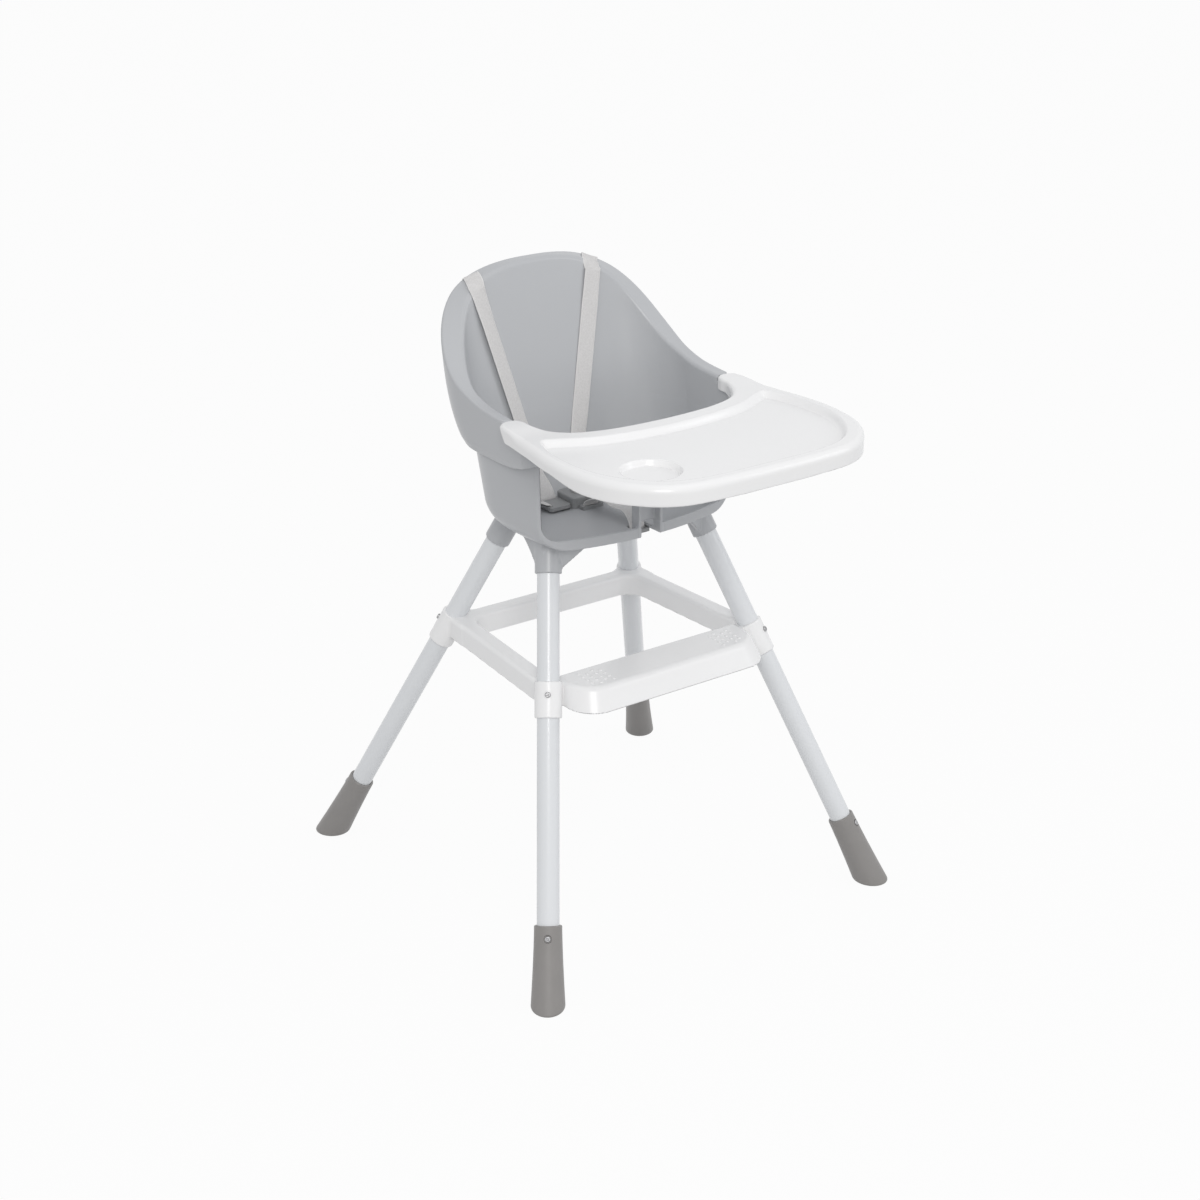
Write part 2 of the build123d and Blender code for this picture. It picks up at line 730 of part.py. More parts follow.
def make_crotch_strap():
    # From the buckle over the seat and down through the floor to its stop
    across = (1, 0, 0)
    loop_y = buckle_y - buckle_l / 2 - loop_l / 2
    top = seat_z + loop_t + 2 * strap_t
    half_way = (loop_y + crotch_slot_y) / 2
    stations = [
        ((buckle_x, loop_y, seat_z + strap_t / 2), across),
        ((buckle_x, loop_y, top), across),
        ((buckle_x, loop_y - loop_l, top + strap_t), across),
        ((buckle_x / 2, half_way, top), across),
        ((0, crotch_slot_y + 2 * loop_l, top), across),
        ((0, crotch_slot_y + loop_l / 2, seat_z + 2 * strap_t), across),
        ((0, crotch_slot_y, seat_z - strap_t), across),
        ((0, crotch_slot_y, base_bottom_z - stop_t - strap_t), across),
    ]
    return ribbon(stations)


def make_crotch_stop():
    bar = Box(stop_w, stop_l, stop_t, align=TOP)
    bar = fillet(bar.edges().filter_by(Axis.Z), stop_l / 4)
    bar -= Box(strap_w + 2 * strap_gap, strap_t + 2 * strap_gap, 4 * stop_t)
    return Pos(0, crotch_slot_y, base_bottom_z) * bar


def buckle_place(z):
    return Pos(buckle_x, buckle_y, seat_z + z)


def make_buckle_housing():
    body = extrude(RectangleRounded(buckle_w, buckle_l, buckle_round), buckle_h)
    loop = extrude(RectangleRounded(strap_w + 2 * loop_bar, 2 * loop_l, loop_bar / 2), loop_t)
    body += Pos(0, -buckle_l / 2, 0) * loop
    slot = Box(strap_w + 2 * strap_gap, strap_t + 2 * strap_gap, 4 * loop_t)
    body -= Pos(0, -buckle_l / 2 - loop_l / 2, 0) * slot
    prong_room = Box(buckle_w + 2, prong_w + 2 * run_gap, prong_t + 2 * run_gap)
    keep = Box(buckle_w - 2 * prong_l - 4 * run_gap, FULL, FULL)
    body -= Pos(0, 0, buckle_h / 2) * (prong_room - keep)
    well = Cylinder(button_d / 2 + run_gap, button_h, align=BOTTOM)
    body -= Pos(0, 0, buckle_h - button_travel - run_gap) * well
    return buckle_place(0) * body


def make_buckle_cover():
    body = extrude(RectangleRounded(buckle_w, buckle_l, buckle_round), cover_h)
    body = fillet(body.faces().sort_by(Axis.Z)[-1].edges(), cover_round)
    body -= Cylinder(button_d / 2 + run_gap, 3 * cover_h)
    return buckle_place(buckle_h) * body


def make_buckle_button():
    body = Cylinder(button_d / 2, button_h, align=BOTTOM)
    body = fillet(body.edges().sort_by(Axis.Z)[-1], button_round)
    return buckle_place(buckle_h) * body


def make_tongue(side):
    # Prong in the buckle and a head with one slot for the lap run and one for the shoulder run
    prong = Box(prong_l + head_edge / 2, prong_w, prong_t, align=(Align.MIN, Align.CENTER, Align.CENTER))
    prong = Pos(-prong_l - run_gap, 0, 0) * prong
    head = extrude(RectangleRounded(head_l, head_w, head_round), head_t / 2, both=True)
    head = Pos(head_l / 2, 0, 0) * head
    slot = (strap_w + 2 * strap_gap, strap_t + 2 * strap_gap)
    head -= Pos(head_l - head_edge, 0, 0) * Box(slot[1], slot[0], FULL)
    head -= Pos(head_l / 2, shoulder_bar_y, 0) * Box(slot[0], slot[1], FULL)
    tongue = Pos(head_root_x, 0, 0) * (prong + head)
    if side < 0:
        tongue = mirror(tongue, about=Plane.YZ)
    return buckle_place(buckle_h / 2) * tongue


parts = {}
for leg_name in legs:
    parts["leg_" + leg_name] = make_leg(leg_name)
    parts["foot_" + leg_name] = make_foot(leg_name)
parts["foot_screws"] = Compound([make_screw(n, foot_screw_z, foot_seat) for n in legs])
parts["ring_screws"] = Compound([make_screw(n, ring_screw_z, collar_seat) for n in legs])
parts["footrest_ring"] = make_ring()
parts["seat_base"] = make_base()
parts["seat_shell"] = make_shell()
parts["shell_screws"] = Compound([make_shell_screw(side) for side in (-1, 1)])
parts["tray"] = make_tray()
for hand, side in (("right", -1), ("left", 1)):
    parts["harness_strap_" + hand] = make_harness_strap(side)
    parts["buckle_tongue_" + hand] = make_tongue(side)
parts["crotch_strap"] = make_crotch_strap()
parts["crotch_stop"] = make_crotch_stop()
parts["buckle_housing"] = make_buckle_housing()
parts["buckle_cover"] = make_buckle_cover()
parts["buckle_button"] = make_buckle_button()

# Centre the chair between the front of the tray and the heels of the rear feet
front_y = parts["tray"].bounding_box().min.Y
rear_y = parts["foot_rear_left"].bounding_box().max.Y
centre = Pos(0, -(front_y + rear_y) / 2, 0)

os.makedirs("parts", exist_ok=True)
for node, shape in parts.items():
    export_step(centre * shape, f"parts/{node}.step")
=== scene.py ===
import math

import bmesh
import bpy
import numpy as np
from mathutils import Matrix, Vector


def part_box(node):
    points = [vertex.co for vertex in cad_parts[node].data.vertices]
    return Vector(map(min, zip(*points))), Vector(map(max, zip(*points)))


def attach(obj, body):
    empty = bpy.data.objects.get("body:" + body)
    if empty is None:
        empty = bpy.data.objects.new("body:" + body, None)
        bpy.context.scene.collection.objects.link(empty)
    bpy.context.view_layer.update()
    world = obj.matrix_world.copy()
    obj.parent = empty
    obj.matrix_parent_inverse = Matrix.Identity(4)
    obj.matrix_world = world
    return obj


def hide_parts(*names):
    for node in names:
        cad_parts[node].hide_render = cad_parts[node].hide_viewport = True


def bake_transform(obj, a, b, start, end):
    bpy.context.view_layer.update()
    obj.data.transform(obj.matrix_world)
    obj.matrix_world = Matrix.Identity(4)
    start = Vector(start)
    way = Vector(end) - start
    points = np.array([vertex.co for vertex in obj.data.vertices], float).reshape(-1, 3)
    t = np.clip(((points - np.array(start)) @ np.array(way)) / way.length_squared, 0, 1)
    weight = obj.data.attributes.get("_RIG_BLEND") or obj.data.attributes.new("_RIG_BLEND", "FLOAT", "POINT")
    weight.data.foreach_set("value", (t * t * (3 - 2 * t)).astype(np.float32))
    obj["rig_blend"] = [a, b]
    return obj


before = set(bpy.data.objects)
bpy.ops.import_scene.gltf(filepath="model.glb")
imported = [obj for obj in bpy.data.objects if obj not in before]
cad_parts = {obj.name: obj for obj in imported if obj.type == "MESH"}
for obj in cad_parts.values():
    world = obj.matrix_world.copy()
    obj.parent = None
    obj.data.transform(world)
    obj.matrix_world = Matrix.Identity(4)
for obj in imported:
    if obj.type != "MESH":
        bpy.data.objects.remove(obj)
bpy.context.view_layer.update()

# Sizes are in millimetres, measured from the middle of the four feet, with the floor at z = 0.
# The child's left is +X and the chair faces -Y. Meshes are put into the frame's metres at the end.

metre = 0.001
trayFrontY = -385.0
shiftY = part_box("tray")[0].y / metre - trayFrontY
coarse = 1.0
print("frame loaded, shift along Y", round(shiftY, 2))


# Shader maths

class Wire:
    def __init__(self, tree, socket):
        self.tree = tree
        self.socket = socket

    def node(self, kind, settings=None, out=0, **inputs):
        # Inputs go by name, or by number where a node repeats its names: i0 is the first
        made = self.tree.nodes.new(kind)
        for key, value in (settings or {}).items():
            setattr(made, key, value)
        for key, value in inputs.items():
            byNumber = key[0] == "i" and key[1:].isdigit()
            self.plug(made.inputs[int(key[1:]) if byNumber else key], value)
        return Wire(self.tree, made.outputs[out])

    def plug(self, target, value):
        if isinstance(value, Wire):
            self.tree.links.new(value.socket, target)
        else:
            target.default_value = value

    def join(self, first, second, operation):
        kinds = [w.socket.type for w in (first, second) if isinstance(w, Wire)]
        if "RGBA" in kinds:
            settings = {"data_type": "RGBA", "blend_type": operation}
            return self.node("ShaderNodeMix", settings, 2, i0=1.0, i6=first, i7=second)
        if "VECTOR" in kinds:
            return self.node("ShaderNodeVectorMath", {"operation": operation}, i0=first, i1=second)
        return self.node("ShaderNodeMath", {"operation": operation}, i0=first, i1=second)

    def __add__(self, other):
        return self.join(self, other, "ADD")

    def __radd__(self, other):
        return self.join(other, self, "ADD")

    def __sub__(self, other):
        return self.join(self, other, "SUBTRACT")

    def __rsub__(self, other):
        return self.join(other, self, "SUBTRACT")

    def __mul__(self, other):
        return self.join(self, other, "MULTIPLY")

    def __rmul__(self, other):
        return self.join(other, self, "MULTIPLY")

    def over(self, limit):
        return self.join(self, limit, "GREATER_THAN")

    def noise(self, scale, detail=3.0):
        return self.node("ShaderNodeTexNoise", Vector=self, Scale=scale, Detail=detail)

    def single(self, operation):
        return self.node("ShaderNodeMath", {"operation": operation}, i0=self)

    def span(self, low, high):
        return low + self * (high - low)

    def blend(self, low, high):
        # A colour between two, each of them a colour or a wire that carries one
        ends = [tone if isinstance(tone, Wire) else (*tone, 1) for tone in (low, high)]
        return self.node("ShaderNodeMix", {"data_type": "RGBA"}, 2, i0=self, i6=ends[0], i7=ends[1])

    def bump(self, strength, distance):
        return self.node("ShaderNodeBump", Height=self, Strength=strength, Distance=distance)


def newFinish(name, **fixed):
    # A principled material: fixed sockets are set here, and the caller links what varies
    finish = bpy.data.materials.new(name)
    finish.use_nodes = True
    tree = finish.node_tree
    shader = tree.nodes["Principled BSDF"]
    for key, value in fixed.items():
        shader.inputs[key.replace("_", " ")].default_value = value
    place = tree.nodes.new("ShaderNodeTexCoord")
    return finish, shader, Wire(tree, place.outputs["Object"])


def finishPlastic(name, low, high, gloss, grain, fixed):
    # Moulded plastic: slow colour drift, faint flow marks in the gloss and a fine tool grain
    finish, shader, place = newFinish(name, **fixed)
    drift = place.noise(grain["drift"])
    marks = place.noise(grain["marks"], 5.0)
    texture = place.noise(grain["fine"], 2.0)
    place.plug(shader.inputs["Base Color"], drift.blend(low, high))
    place.plug(shader.inputs["Roughness"], marks.span(*gloss))
    place.plug(shader.inputs["Normal"], texture.bump(grain["strength"], grain["depth"]))
    return finish


greyLook = {"low": (0.485, 0.496, 0.513), "high": (0.50, 0.511, 0.528), "gloss": (0.27, 0.31)}
greyGrain = {"drift": 9.0, "marks": 55.0, "fine": 900.0, "strength": 0.015, "depth": 0.0004}
greyPlastic = finishPlastic("greyPlastic", **greyLook, grain=greyGrain, fixed={"IOR": 1.48})

whiteLook = {"low": (0.86, 0.86, 0.86), "high": (0.88, 0.88, 0.885), "gloss": (0.20, 0.24)}
whiteGrain = {"drift": 7.0, "marks": 40.0, "fine": 900.0, "strength": 0.012, "depth": 0.0004}
whitePlastic = finishPlastic("whitePlastic", **whiteLook, grain=whiteGrain, fixed={"IOR": 1.49})

# A lighter copy of the white plastic for the ring and its dots: painted light, standing in for the light the
# ring misses in the shade under the seat
ringLitLook = {"low": (0.91, 0.91, 0.91), "high": (0.93, 0.93, 0.935), "gloss": (0.22, 0.26)}
ringPlastic = finishPlastic("ringPlastic", **ringLitLook, grain=whiteGrain, fixed={"IOR": 1.49})

footLook = {"low": (0.255, 0.245, 0.237), "high": (0.29, 0.278, 0.27), "gloss": (0.36, 0.48)}
footGrain = {"drift": 30.0, "marks": 160.0, "fine": 2000.0, "strength": 0.12, "depth": 0.0006}
footPlastic = finishPlastic("footPlastic", **footLook, grain=footGrain, fixed={"IOR": 1.5})

buckleLook = {"low": (0.30, 0.305, 0.31), "high": (0.33, 0.335, 0.34), "gloss": (0.30, 0.42)}
buckleGrain = {"drift": 40.0, "marks": 200.0, "fine": 2600.0, "strength": 0.15, "depth": 0.0004}
bucklePlastic = finishPlastic("bucklePlastic", **buckleLook, grain=buckleGrain, fixed={"IOR": 1.49})

buttonLook = {"low": (0.56, 0.56, 0.55), "high": (0.60, 0.60, 0.59), "gloss": (0.26, 0.36)}
buttonPlastic = finishPlastic("buttonPlastic", **buttonLook, grain=buckleGrain, fixed={"IOR": 1.49})

paintLook = {"low": (0.76, 0.78, 0.80), "high": (0.785, 0.80, 0.82), "gloss": (0.22, 0.30)}
paintGrain = {"drift": 12.0, "marks": 420.0, "fine": 1100.0, "strength": 0.02, "depth": 0.0004}
paintCoat = {"IOR": 1.5, "Coat_Weight": 0.35, "Coat_Roughness": 0.12}
legPaint = finishPlastic("legPaint", **paintLook, grain=paintGrain, fixed=paintCoat)


steelLook = {"low": (0.28, 0.28, 0.29), "high": (0.52, 0.52, 0.53), "gloss": (0.28, 0.48), "patches": 900.0}


def finishSteel(look):
    # Zinc-plated screw: brushed tone and darker tarnish in patches
    finish, shader, place = newFinish("screwSteel", Metallic=1.0)
    patches = place.noise(look["patches"], 4.0)
    place.plug(shader.inputs["Base Color"], patches.blend(look["low"], look["high"]))
    place.plug(shader.inputs["Roughness"], patches.span(*look["gloss"]))
    return finish


screwSteel = finishSteel(steelLook)


webLook = {
    "rib": (0.84, 0.83, 0.825), "gap": (0.55, 0.54, 0.535), "edge": (0.88, 0.87, 0.86), "edgeShare": 0.062,
    "edgeHighlightMix": 0.75, "picks": 0.62, "ends": 15.0, "speckle": 440.0, "relief": (0.7, 0.3),
    "hollowShadeAndSpeckle": (0.45, 0.55),
    "strength": 0.55, "depth": 0.0007,
}
webFuzz = {"Roughness": 0.86, "Sheen_Weight": 0.25, "Sheen_Roughness": 0.5}


def finishWebbing(look):
    # Woven webbing: u runs across from selvage to selvage, v runs along in millimetres
    finish, shader, place = newFinish("webbing", **webFuzz)
    plain = place.node("ShaderNodeUVMap", {"uv_map": "weave"})
    across = plain.node("ShaderNodeSeparateXYZ", Vector=plain)
    along = Wire(across.tree, across.socket.node.outputs[1])
    ends = (across * (math.tau * look["ends"])).single("SINE")
    picks = (along * (math.tau * look["picks"])).single("SINE")
    cloth = ends * picks * 0.5 + 0.5
    speckle = place.noise(look["speckle"], 2.0)
    height = cloth * look["relief"][0] + speckle * look["relief"][1]
    # The weave's low places are painted darker: painted shade in the hollows between the ribs, with random
    # speckle tone mixed in
    body = (cloth * look["hollowShadeAndSpeckle"][0] + speckle * look["hollowShadeAndSpeckle"][1]).blend(look["gap"], look["rib"])
    # Both selvages are painted lighter all along the strap: a painted highlight on the strap's edges
    selvage = (across - 0.5).single("ABSOLUTE").over(0.5 - look["edgeShare"])
    tone = (selvage * look["edgeHighlightMix"]).blend(body, look["edge"])
    place.plug(shader.inputs["Base Color"], tone)
    place.plug(shader.inputs["Normal"], height.bump(look["strength"], look["depth"]))
    return finish


webbing = finishWebbing(webLook)
print("finishes made")


# Meshes from distance fields

def roundMax(a, b, radius):
    # Both at once, with the edge between them rounded
    low = np.minimum(np.maximum(a, b), -radius)
    return low + np.hypot(np.maximum(a + radius, 0), np.maximum(b + radius, 0))


def roundMin(a, b, radius):
    # Either of two, with a fillet where they meet
    high = np.maximum(np.minimum(a, b), radius)
    return high - np.hypot(np.maximum(radius - a, 0), np.maximum(radius - b, 0))


def ease(t):
    # From 0 to 1 with a soft start and end
    t = np.clip(t, 0, 1)
    return t * t * t * (t * (6 * t - 15) + 10)


def soften(values, spread, reach):
    # Running mean with a bell-shaped weight
    weight = np.exp(-(np.arange(-reach, reach + 1) / spread) ** 2 / 2)
    return np.convolve(np.pad(values, reach, mode="edge"), weight / weight.sum(), mode="valid")


def blockField(x, y, z, low, high, radius):
    # A box with round edges
    gaps = []
    for value, a, b in zip((x, y, z), low, high):
        gaps.append(np.abs(value - (a + b) / 2) - (b - a) / 2 + radius)
    outside = np.sqrt(sum(np.maximum(g, 0) ** 2 for g in gaps))
    return outside + np.minimum(np.maximum(np.maximum(gaps[0], gaps[1]), gaps[2]), 0) - radius


def pull(field, points, level=0.0, reach=3.0):
    # One step of each point towards the surface of a field
    tiny = 0.03
    leastSlope = 0.2
    away = field(*points.T) - level
    slope = np.empty_like(points)
    for axis in range(3):
        side = np.zeros(3)
        side[axis] = tiny
        slope[:, axis] = (field(*(points + side).T) - field(*(points - side).T)) / (2 * tiny)
    size = np.maximum((slope ** 2).sum(1), leastSlope)
    step = np.clip(away / size, -reach, reach)
    return points - slope * step[:, None], slope / np.sqrt(size)[:, None]


def relax(points, quads):
    # Each point half way towards the middle of its neighbours
    total = np.zeros_like(points)
    hits = np.zeros(len(points))
    for corner in range(4):
        a, b = quads[:, corner], quads[:, (corner + 1) % 4]
        for here, there in ((a, b), (b, a)):
            hits += np.bincount(here, minlength=len(points))
            for axis in range(3):
                total[:, axis] += np.bincount(here, points[there, axis], len(points))
    return (points + total / np.maximum(hits, 1)[:, None]) / 2


def skinField(field, low, high, step):
    # Closed quad mesh of a field's surface: one point in each mixed cell, then pulled onto the surface
    axes = [np.arange(a - step, b + 1.5 * step, step) for a, b in zip(low, high)]
    grid = [g.astype(np.float32) for g in np.meshgrid(*axes, indexing="ij")]
    value = field(*grid).astype(np.float32)
    solid = value < 0
    cells = tuple(n - 1 for n in value.shape)
    count = np.zeros(cells, np.int8)
    for i in (0, 1):
        for j in (0, 1):
            for k in (0, 1):
                count += solid[i:i + cells[0], j:j + cells[1], k:k + cells[2]]
    place = np.stack(np.nonzero((count > 0) & (count < 8)), 1)
    index = np.full(cells, -1, np.int64)
    index[tuple(place.T)] = np.arange(len(place))
    total = np.zeros((len(place), 3))
    hits = np.zeros(len(place))
    for axis in range(3):
        b, c = (axis + 1) % 3, (axis + 2) % 3
        for i in (0, 1):
            for j in (0, 1):
                start = place.copy()
                start[:, b] += i
                start[:, c] += j
                end = start.copy()
                end[:, axis] += 1
                v0 = value[tuple(start.T)].astype(float)
                v1 = value[tuple(end.T)].astype(float)
                cross = (v0 < 0) != (v1 < 0)
                share = np.where(cross, v0 / np.where(v0 == v1, 1, v0 - v1), 0)
                point = start.astype(float)
                point[:, axis] += share
                total[cross] += point[cross]
                hits[cross] += 1
    points = total / hits[:, None] * step + np.array([a[0] for a in axes])
    quads = []
    for axis in range(3):
        b, c = (axis + 1) % 3, (axis + 2) % 3
        size = solid.shape[axis]
        first = solid.take(range(size - 1), axis)
        second = solid.take(range(1, size), axis)
        where = np.stack(np.nonzero(first != second), 1)
        ring = []
        for i, j in ((-1, -1), (0, -1), (0, 0), (-1, 0)):
            near = where.copy()
            near[:, b] += i
            near[:, c] += j
            ring.append(index[tuple(near.T)])
        quad = np.stack(ring, 1)
        flip = ~first[tuple(where.T)]
        quad[flip] = quad[flip][:, ::-1]
        quads.append(quad)
    quads = np.concatenate(quads)
    for turn in range(4):
        points, normals = pull(field, relax(points, quads), 0.0, step)
    points, normals = pull(field, points, 0.0, step)
    return points, quads, normals


def inFrame(points):
    return (np.asarray(points, float) + (0, shiftY, 0)) * metre


def addObject(name, data):
    made = bpy.data.objects.new(name, data)
    bpy.context.collection.objects.link(made)
    return made


def makePiece(name, points, faces, normals, finish):
    mesh = bpy.data.meshes.new(name)
    faces = np.asarray(faces)
    places = inFrame(points)
    mesh.vertices.add(len(places))
    mesh.vertices.foreach_set("co", places.ravel())
    corners = faces.shape[1]
    mesh.loops.add(faces.size)
    mesh.loops.foreach_set("vertex_index", faces.ravel())
    mesh.polygons.add(len(faces))
    mesh.polygons.foreach_set("loop_start", np.arange(len(faces)) * corners)
    mesh.update(calc_edges=True)
    mesh.validate()
    mesh.shade_smooth()
    if normals is not None:
        mesh.normals_split_custom_set_from_vertices(normals)
    mesh.materials.append(finish)
    return addObject(name, mesh)


def declarePiece(piece, slot, *nodes):
    if nodes:
        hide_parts(*nodes)
    print("placed", piece.name, len(piece.data.polygons), "faces")


def placePiece(piece, body, slot, *nodes):
    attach(piece, body)
    declarePiece(piece, slot, *nodes)


# Legs: a line from a place on the floor to a place in the seat's socket

legPlan = {
    "socketZ": 540.0, "footY": 289.0, "radius": 15.0, "lowZ": 12.0, "segments": 64, "rings": 25,
    "frontFootX": 279.5, "frontSocket": (120.8, 65.2), "frontSleeveZ": 506.0,
    "rearFootX": 286.5, "rearSocket": (93.8, 64.4), "rearSleeveZ": 498.0,
}


class Leg:
    def __init__(self, side, row):
        kind = "front" if row < 0 else "rear"
        self.name = kind + "_" + ("right" if side < 0 else "left")
        self.side = side
        self.row = row
        socketX, socketY = legPlan[kind + "Socket"]
        self.foot = np.array([side * legPlan[kind + "FootX"], row * legPlan["footY"], 0.0])
        top = np.array([side * socketX, row * socketY, legPlan["socketZ"]])
        self.along = (top - self.foot) / np.linalg.norm(top - self.foot)
        flat = np.array([self.foot[0] - top[0], self.foot[1] - top[1], 0.0])
        out = flat - self.along * flat.dot(self.along)
        self.out = out / np.linalg.norm(out)
        self.sleeveZ = legPlan[kind + "SleeveZ"]

    def at(self, z):
        return self.foot + self.along * (z / self.along[2])

    def measure(self, x, y, z):
        # Distance from the leg's axis, and length up it
        rel = (x - self.foot[0], y - self.foot[1], z - self.foot[2])
        up = sum(r * a for r, a in zip(rel, self.along))
        square = sum((r - up * a) ** 2 for r, a in zip(rel, self.along))
        return np.sqrt(square), up

    def rod(self, x, y, z, radius, low, high, edge):
        # Round bar on the leg's axis with square ends
        rho, up = self.measure(x, y, z)
        scale = self.along[2]
        ends = np.maximum(low / scale - up, up - high / scale)
        return roundMax(rho - radius, ends, edge)


legs = [Leg(side, row) for row in (-1, 1) for side in (-1, 1)]


def buildLeg(leg):
    # Steel tube, open at the ends that the foot and the socket hide
    turns = legPlan["segments"]
    heights = np.linspace(legPlan["lowZ"], leg.sleeveZ + legPlan["radius"], legPlan["rings"])
    angles = np.linspace(0, math.tau, turns, endpoint=False)
    ring = np.outer(np.cos(angles), leg.out) + np.outer(np.sin(angles), np.cross(leg.along, leg.out))
    points = np.concatenate([leg.at(z) + ring * legPlan["radius"] for z in heights])
    faces = []
    for row in range(len(heights) - 1):
        for turn in range(turns):
            a = row * turns + turn
            b = row * turns + (turn + 1) % turns
            faces.append((a, b, b + turns, a + turns))
    tube = makePiece("legTube_" + leg.name, points, faces, None, legPaint)
    placePiece(tube, "chair", "leg_paint", "leg_" + leg.name)


for leg in legs:
    buildLeg(leg)


# Foot caps

footPlan = {
    "topZ": 95.0, "topR": 18.5, "floorR": 23.0, "flare": 1.5, "flareLow": -0.3, "edge": 4.0, "mouthEdge": 1.6,
    "screwZ": 80.0, "recessR": 5.25, "recessT": 1.6, "recessEdge": 0.5, "recessLip": 0.7,
    "bore": 15.1, "boreZ": 14.0, "margin": 6.0, "voxel": 1.0,
}


def footRadius(height):
    # A cap is widest at the floor, and its flare runs out towards the top
    p = footPlan
    share = np.clip(height / p["topZ"], p["flareLow"], 1)
    return p["topR"] + (p["floorR"] - p["topR"]) * np.abs(1 - share) ** p["flare"]


def footField(leg):
    p = footPlan
    spot = leg.at(p["screwZ"])
    seat = footRadius(p["screwZ"]) - p["recessT"]

    def field(x, y, z):
        rho, up = leg.measure(x, y, z)
        body = roundMax(rho - footRadius(up * leg.along[2]), up - p["topZ"] / leg.along[2], p["mouthEdge"])
        body = roundMax(body, -z, p["edge"])
        bore = np.maximum(rho - p["bore"], p["boreZ"] - z)
        rel = (x - spot[0], y - spot[1], z - spot[2])
        out = sum(r * o for r, o in zip(rel, leg.out))
        away = np.sqrt(np.maximum(sum(r * r for r in rel) - out * out, 0))
        recess = roundMax(away - p["recessR"], seat - out, p["recessEdge"])
        return np.maximum(roundMax(body, -recess, p["recessLip"]), -bore)

    return field


def buildFoot(leg):
    p = footPlan
    reach = p["floorR"] + p["margin"]
    ends = np.stack([leg.foot, leg.at(p["topZ"] + p["margin"])])
    low = ends.min(0) - reach
    high = ends.max(0) + reach
    low[2], high[2] = -p["voxel"], p["topZ"] + 2 * p["margin"]
    mesh = skinField(footField(leg), low, high, p["voxel"] * coarse)
    piece = makePiece("footCap_" + leg.name, *mesh, footPlastic)
    placePiece(piece, "chair", "foot_plastic", "foot_" + leg.name)


for leg in legs:
    buildFoot(leg)


# Footrest ring: three rails, a step and a collar on each leg

ringPlan = {
    "topZ": 379.0, "height": 31.0, "width": 26.0, "round": 6.0, "wall": 5.0, "lowEdge": 1.0,
    "rearInset": 12.0,
    "collarR": 18.25, "collarLowZ": 336.0, "collarEdge": 1.4, "collarFillet": 3.0, "screwZ": 363.0,
    "stepBackY": -122.0, "stepBackR": 3.0, "stepFrontY": -203.0, "stepHalfW": 158.0, "stepCornerR": 42.0,
    "lean": 16.0, "leanShares": (-0.2, 1.2), "fillet": 8.0, "cornerR": 24.0,
    "low": (-252, -210, 322), "high": (252, 176, 394), "voxel": 1.8,
}


def railPlan(x, y, start, end):
    # A straight rail seen from above
    run = np.array(end) - np.array(start)
    length = np.hypot(*run)
    run = run / length
    along = (x - start[0]) * run[0] + (y - start[1]) * run[1]
    across = (y - start[1]) * run[0] - (x - start[0]) * run[1]
    return np.maximum(np.abs(across) - ringPlan["width"] / 2, np.maximum(-along, along - length))


def stepField(x, y, z):
    # The step's front and ends lean inwards towards the top
    p = ringPlan
    lean = p["lean"] * np.clip((z - p["topZ"]) / p["height"] + 1, *p["leanShares"])
    front = roundMax(np.abs(x) - p["stepHalfW"] + lean / 2, p["stepFrontY"] + lean - y, p["stepCornerR"])
    return roundMax(front, y - p["stepBackY"], p["stepBackR"])


def ringField(x, y, z):
    p = ringPlan
    top, wall = p["topZ"], p["wall"]
    ends = {leg.name: leg.at(top) for leg in legs}
    rearX, rearY, _ = ends["rear_left"]
    rearY = rearY - p["rearInset"]
    plan = railPlan(x, y, (-rearX, rearY), (rearX, rearY))
    for side in ("left", "right"):
        rail = railPlan(x, y, ends["front_" + side][:2], ends["rear_" + side][:2])
        plan = roundMin(plan, rail, p["cornerR"])
    plan = roundMin(plan, stepField(x, y, z), p["fillet"])
    hollow = roundMax(plan + wall, z - (top - wall), p["round"] - wall)
    solid = roundMax(plan, z - top, p["round"])
    solid = roundMax(solid, top - p["height"] - z, p["lowEdge"])
    solid = np.maximum(solid, -hollow)
    for leg in legs:
        collar = leg.rod(x, y, z, p["collarR"], p["collarLowZ"], top, p["collarEdge"])
        solid = roundMin(solid, collar, p["collarFillet"])
    return solid


ringMesh = skinField(ringField, ringPlan["low"], ringPlan["high"], ringPlan["voxel"] * coarse)
footrestRing = makePiece("footrestRing", *ringMesh, ringPlastic)
placePiece(footrestRing, "chair", "white_plastic", "footrest_ring")


# Tray: outline and sunk surface are smooth closed curves through a few points of the child's left half

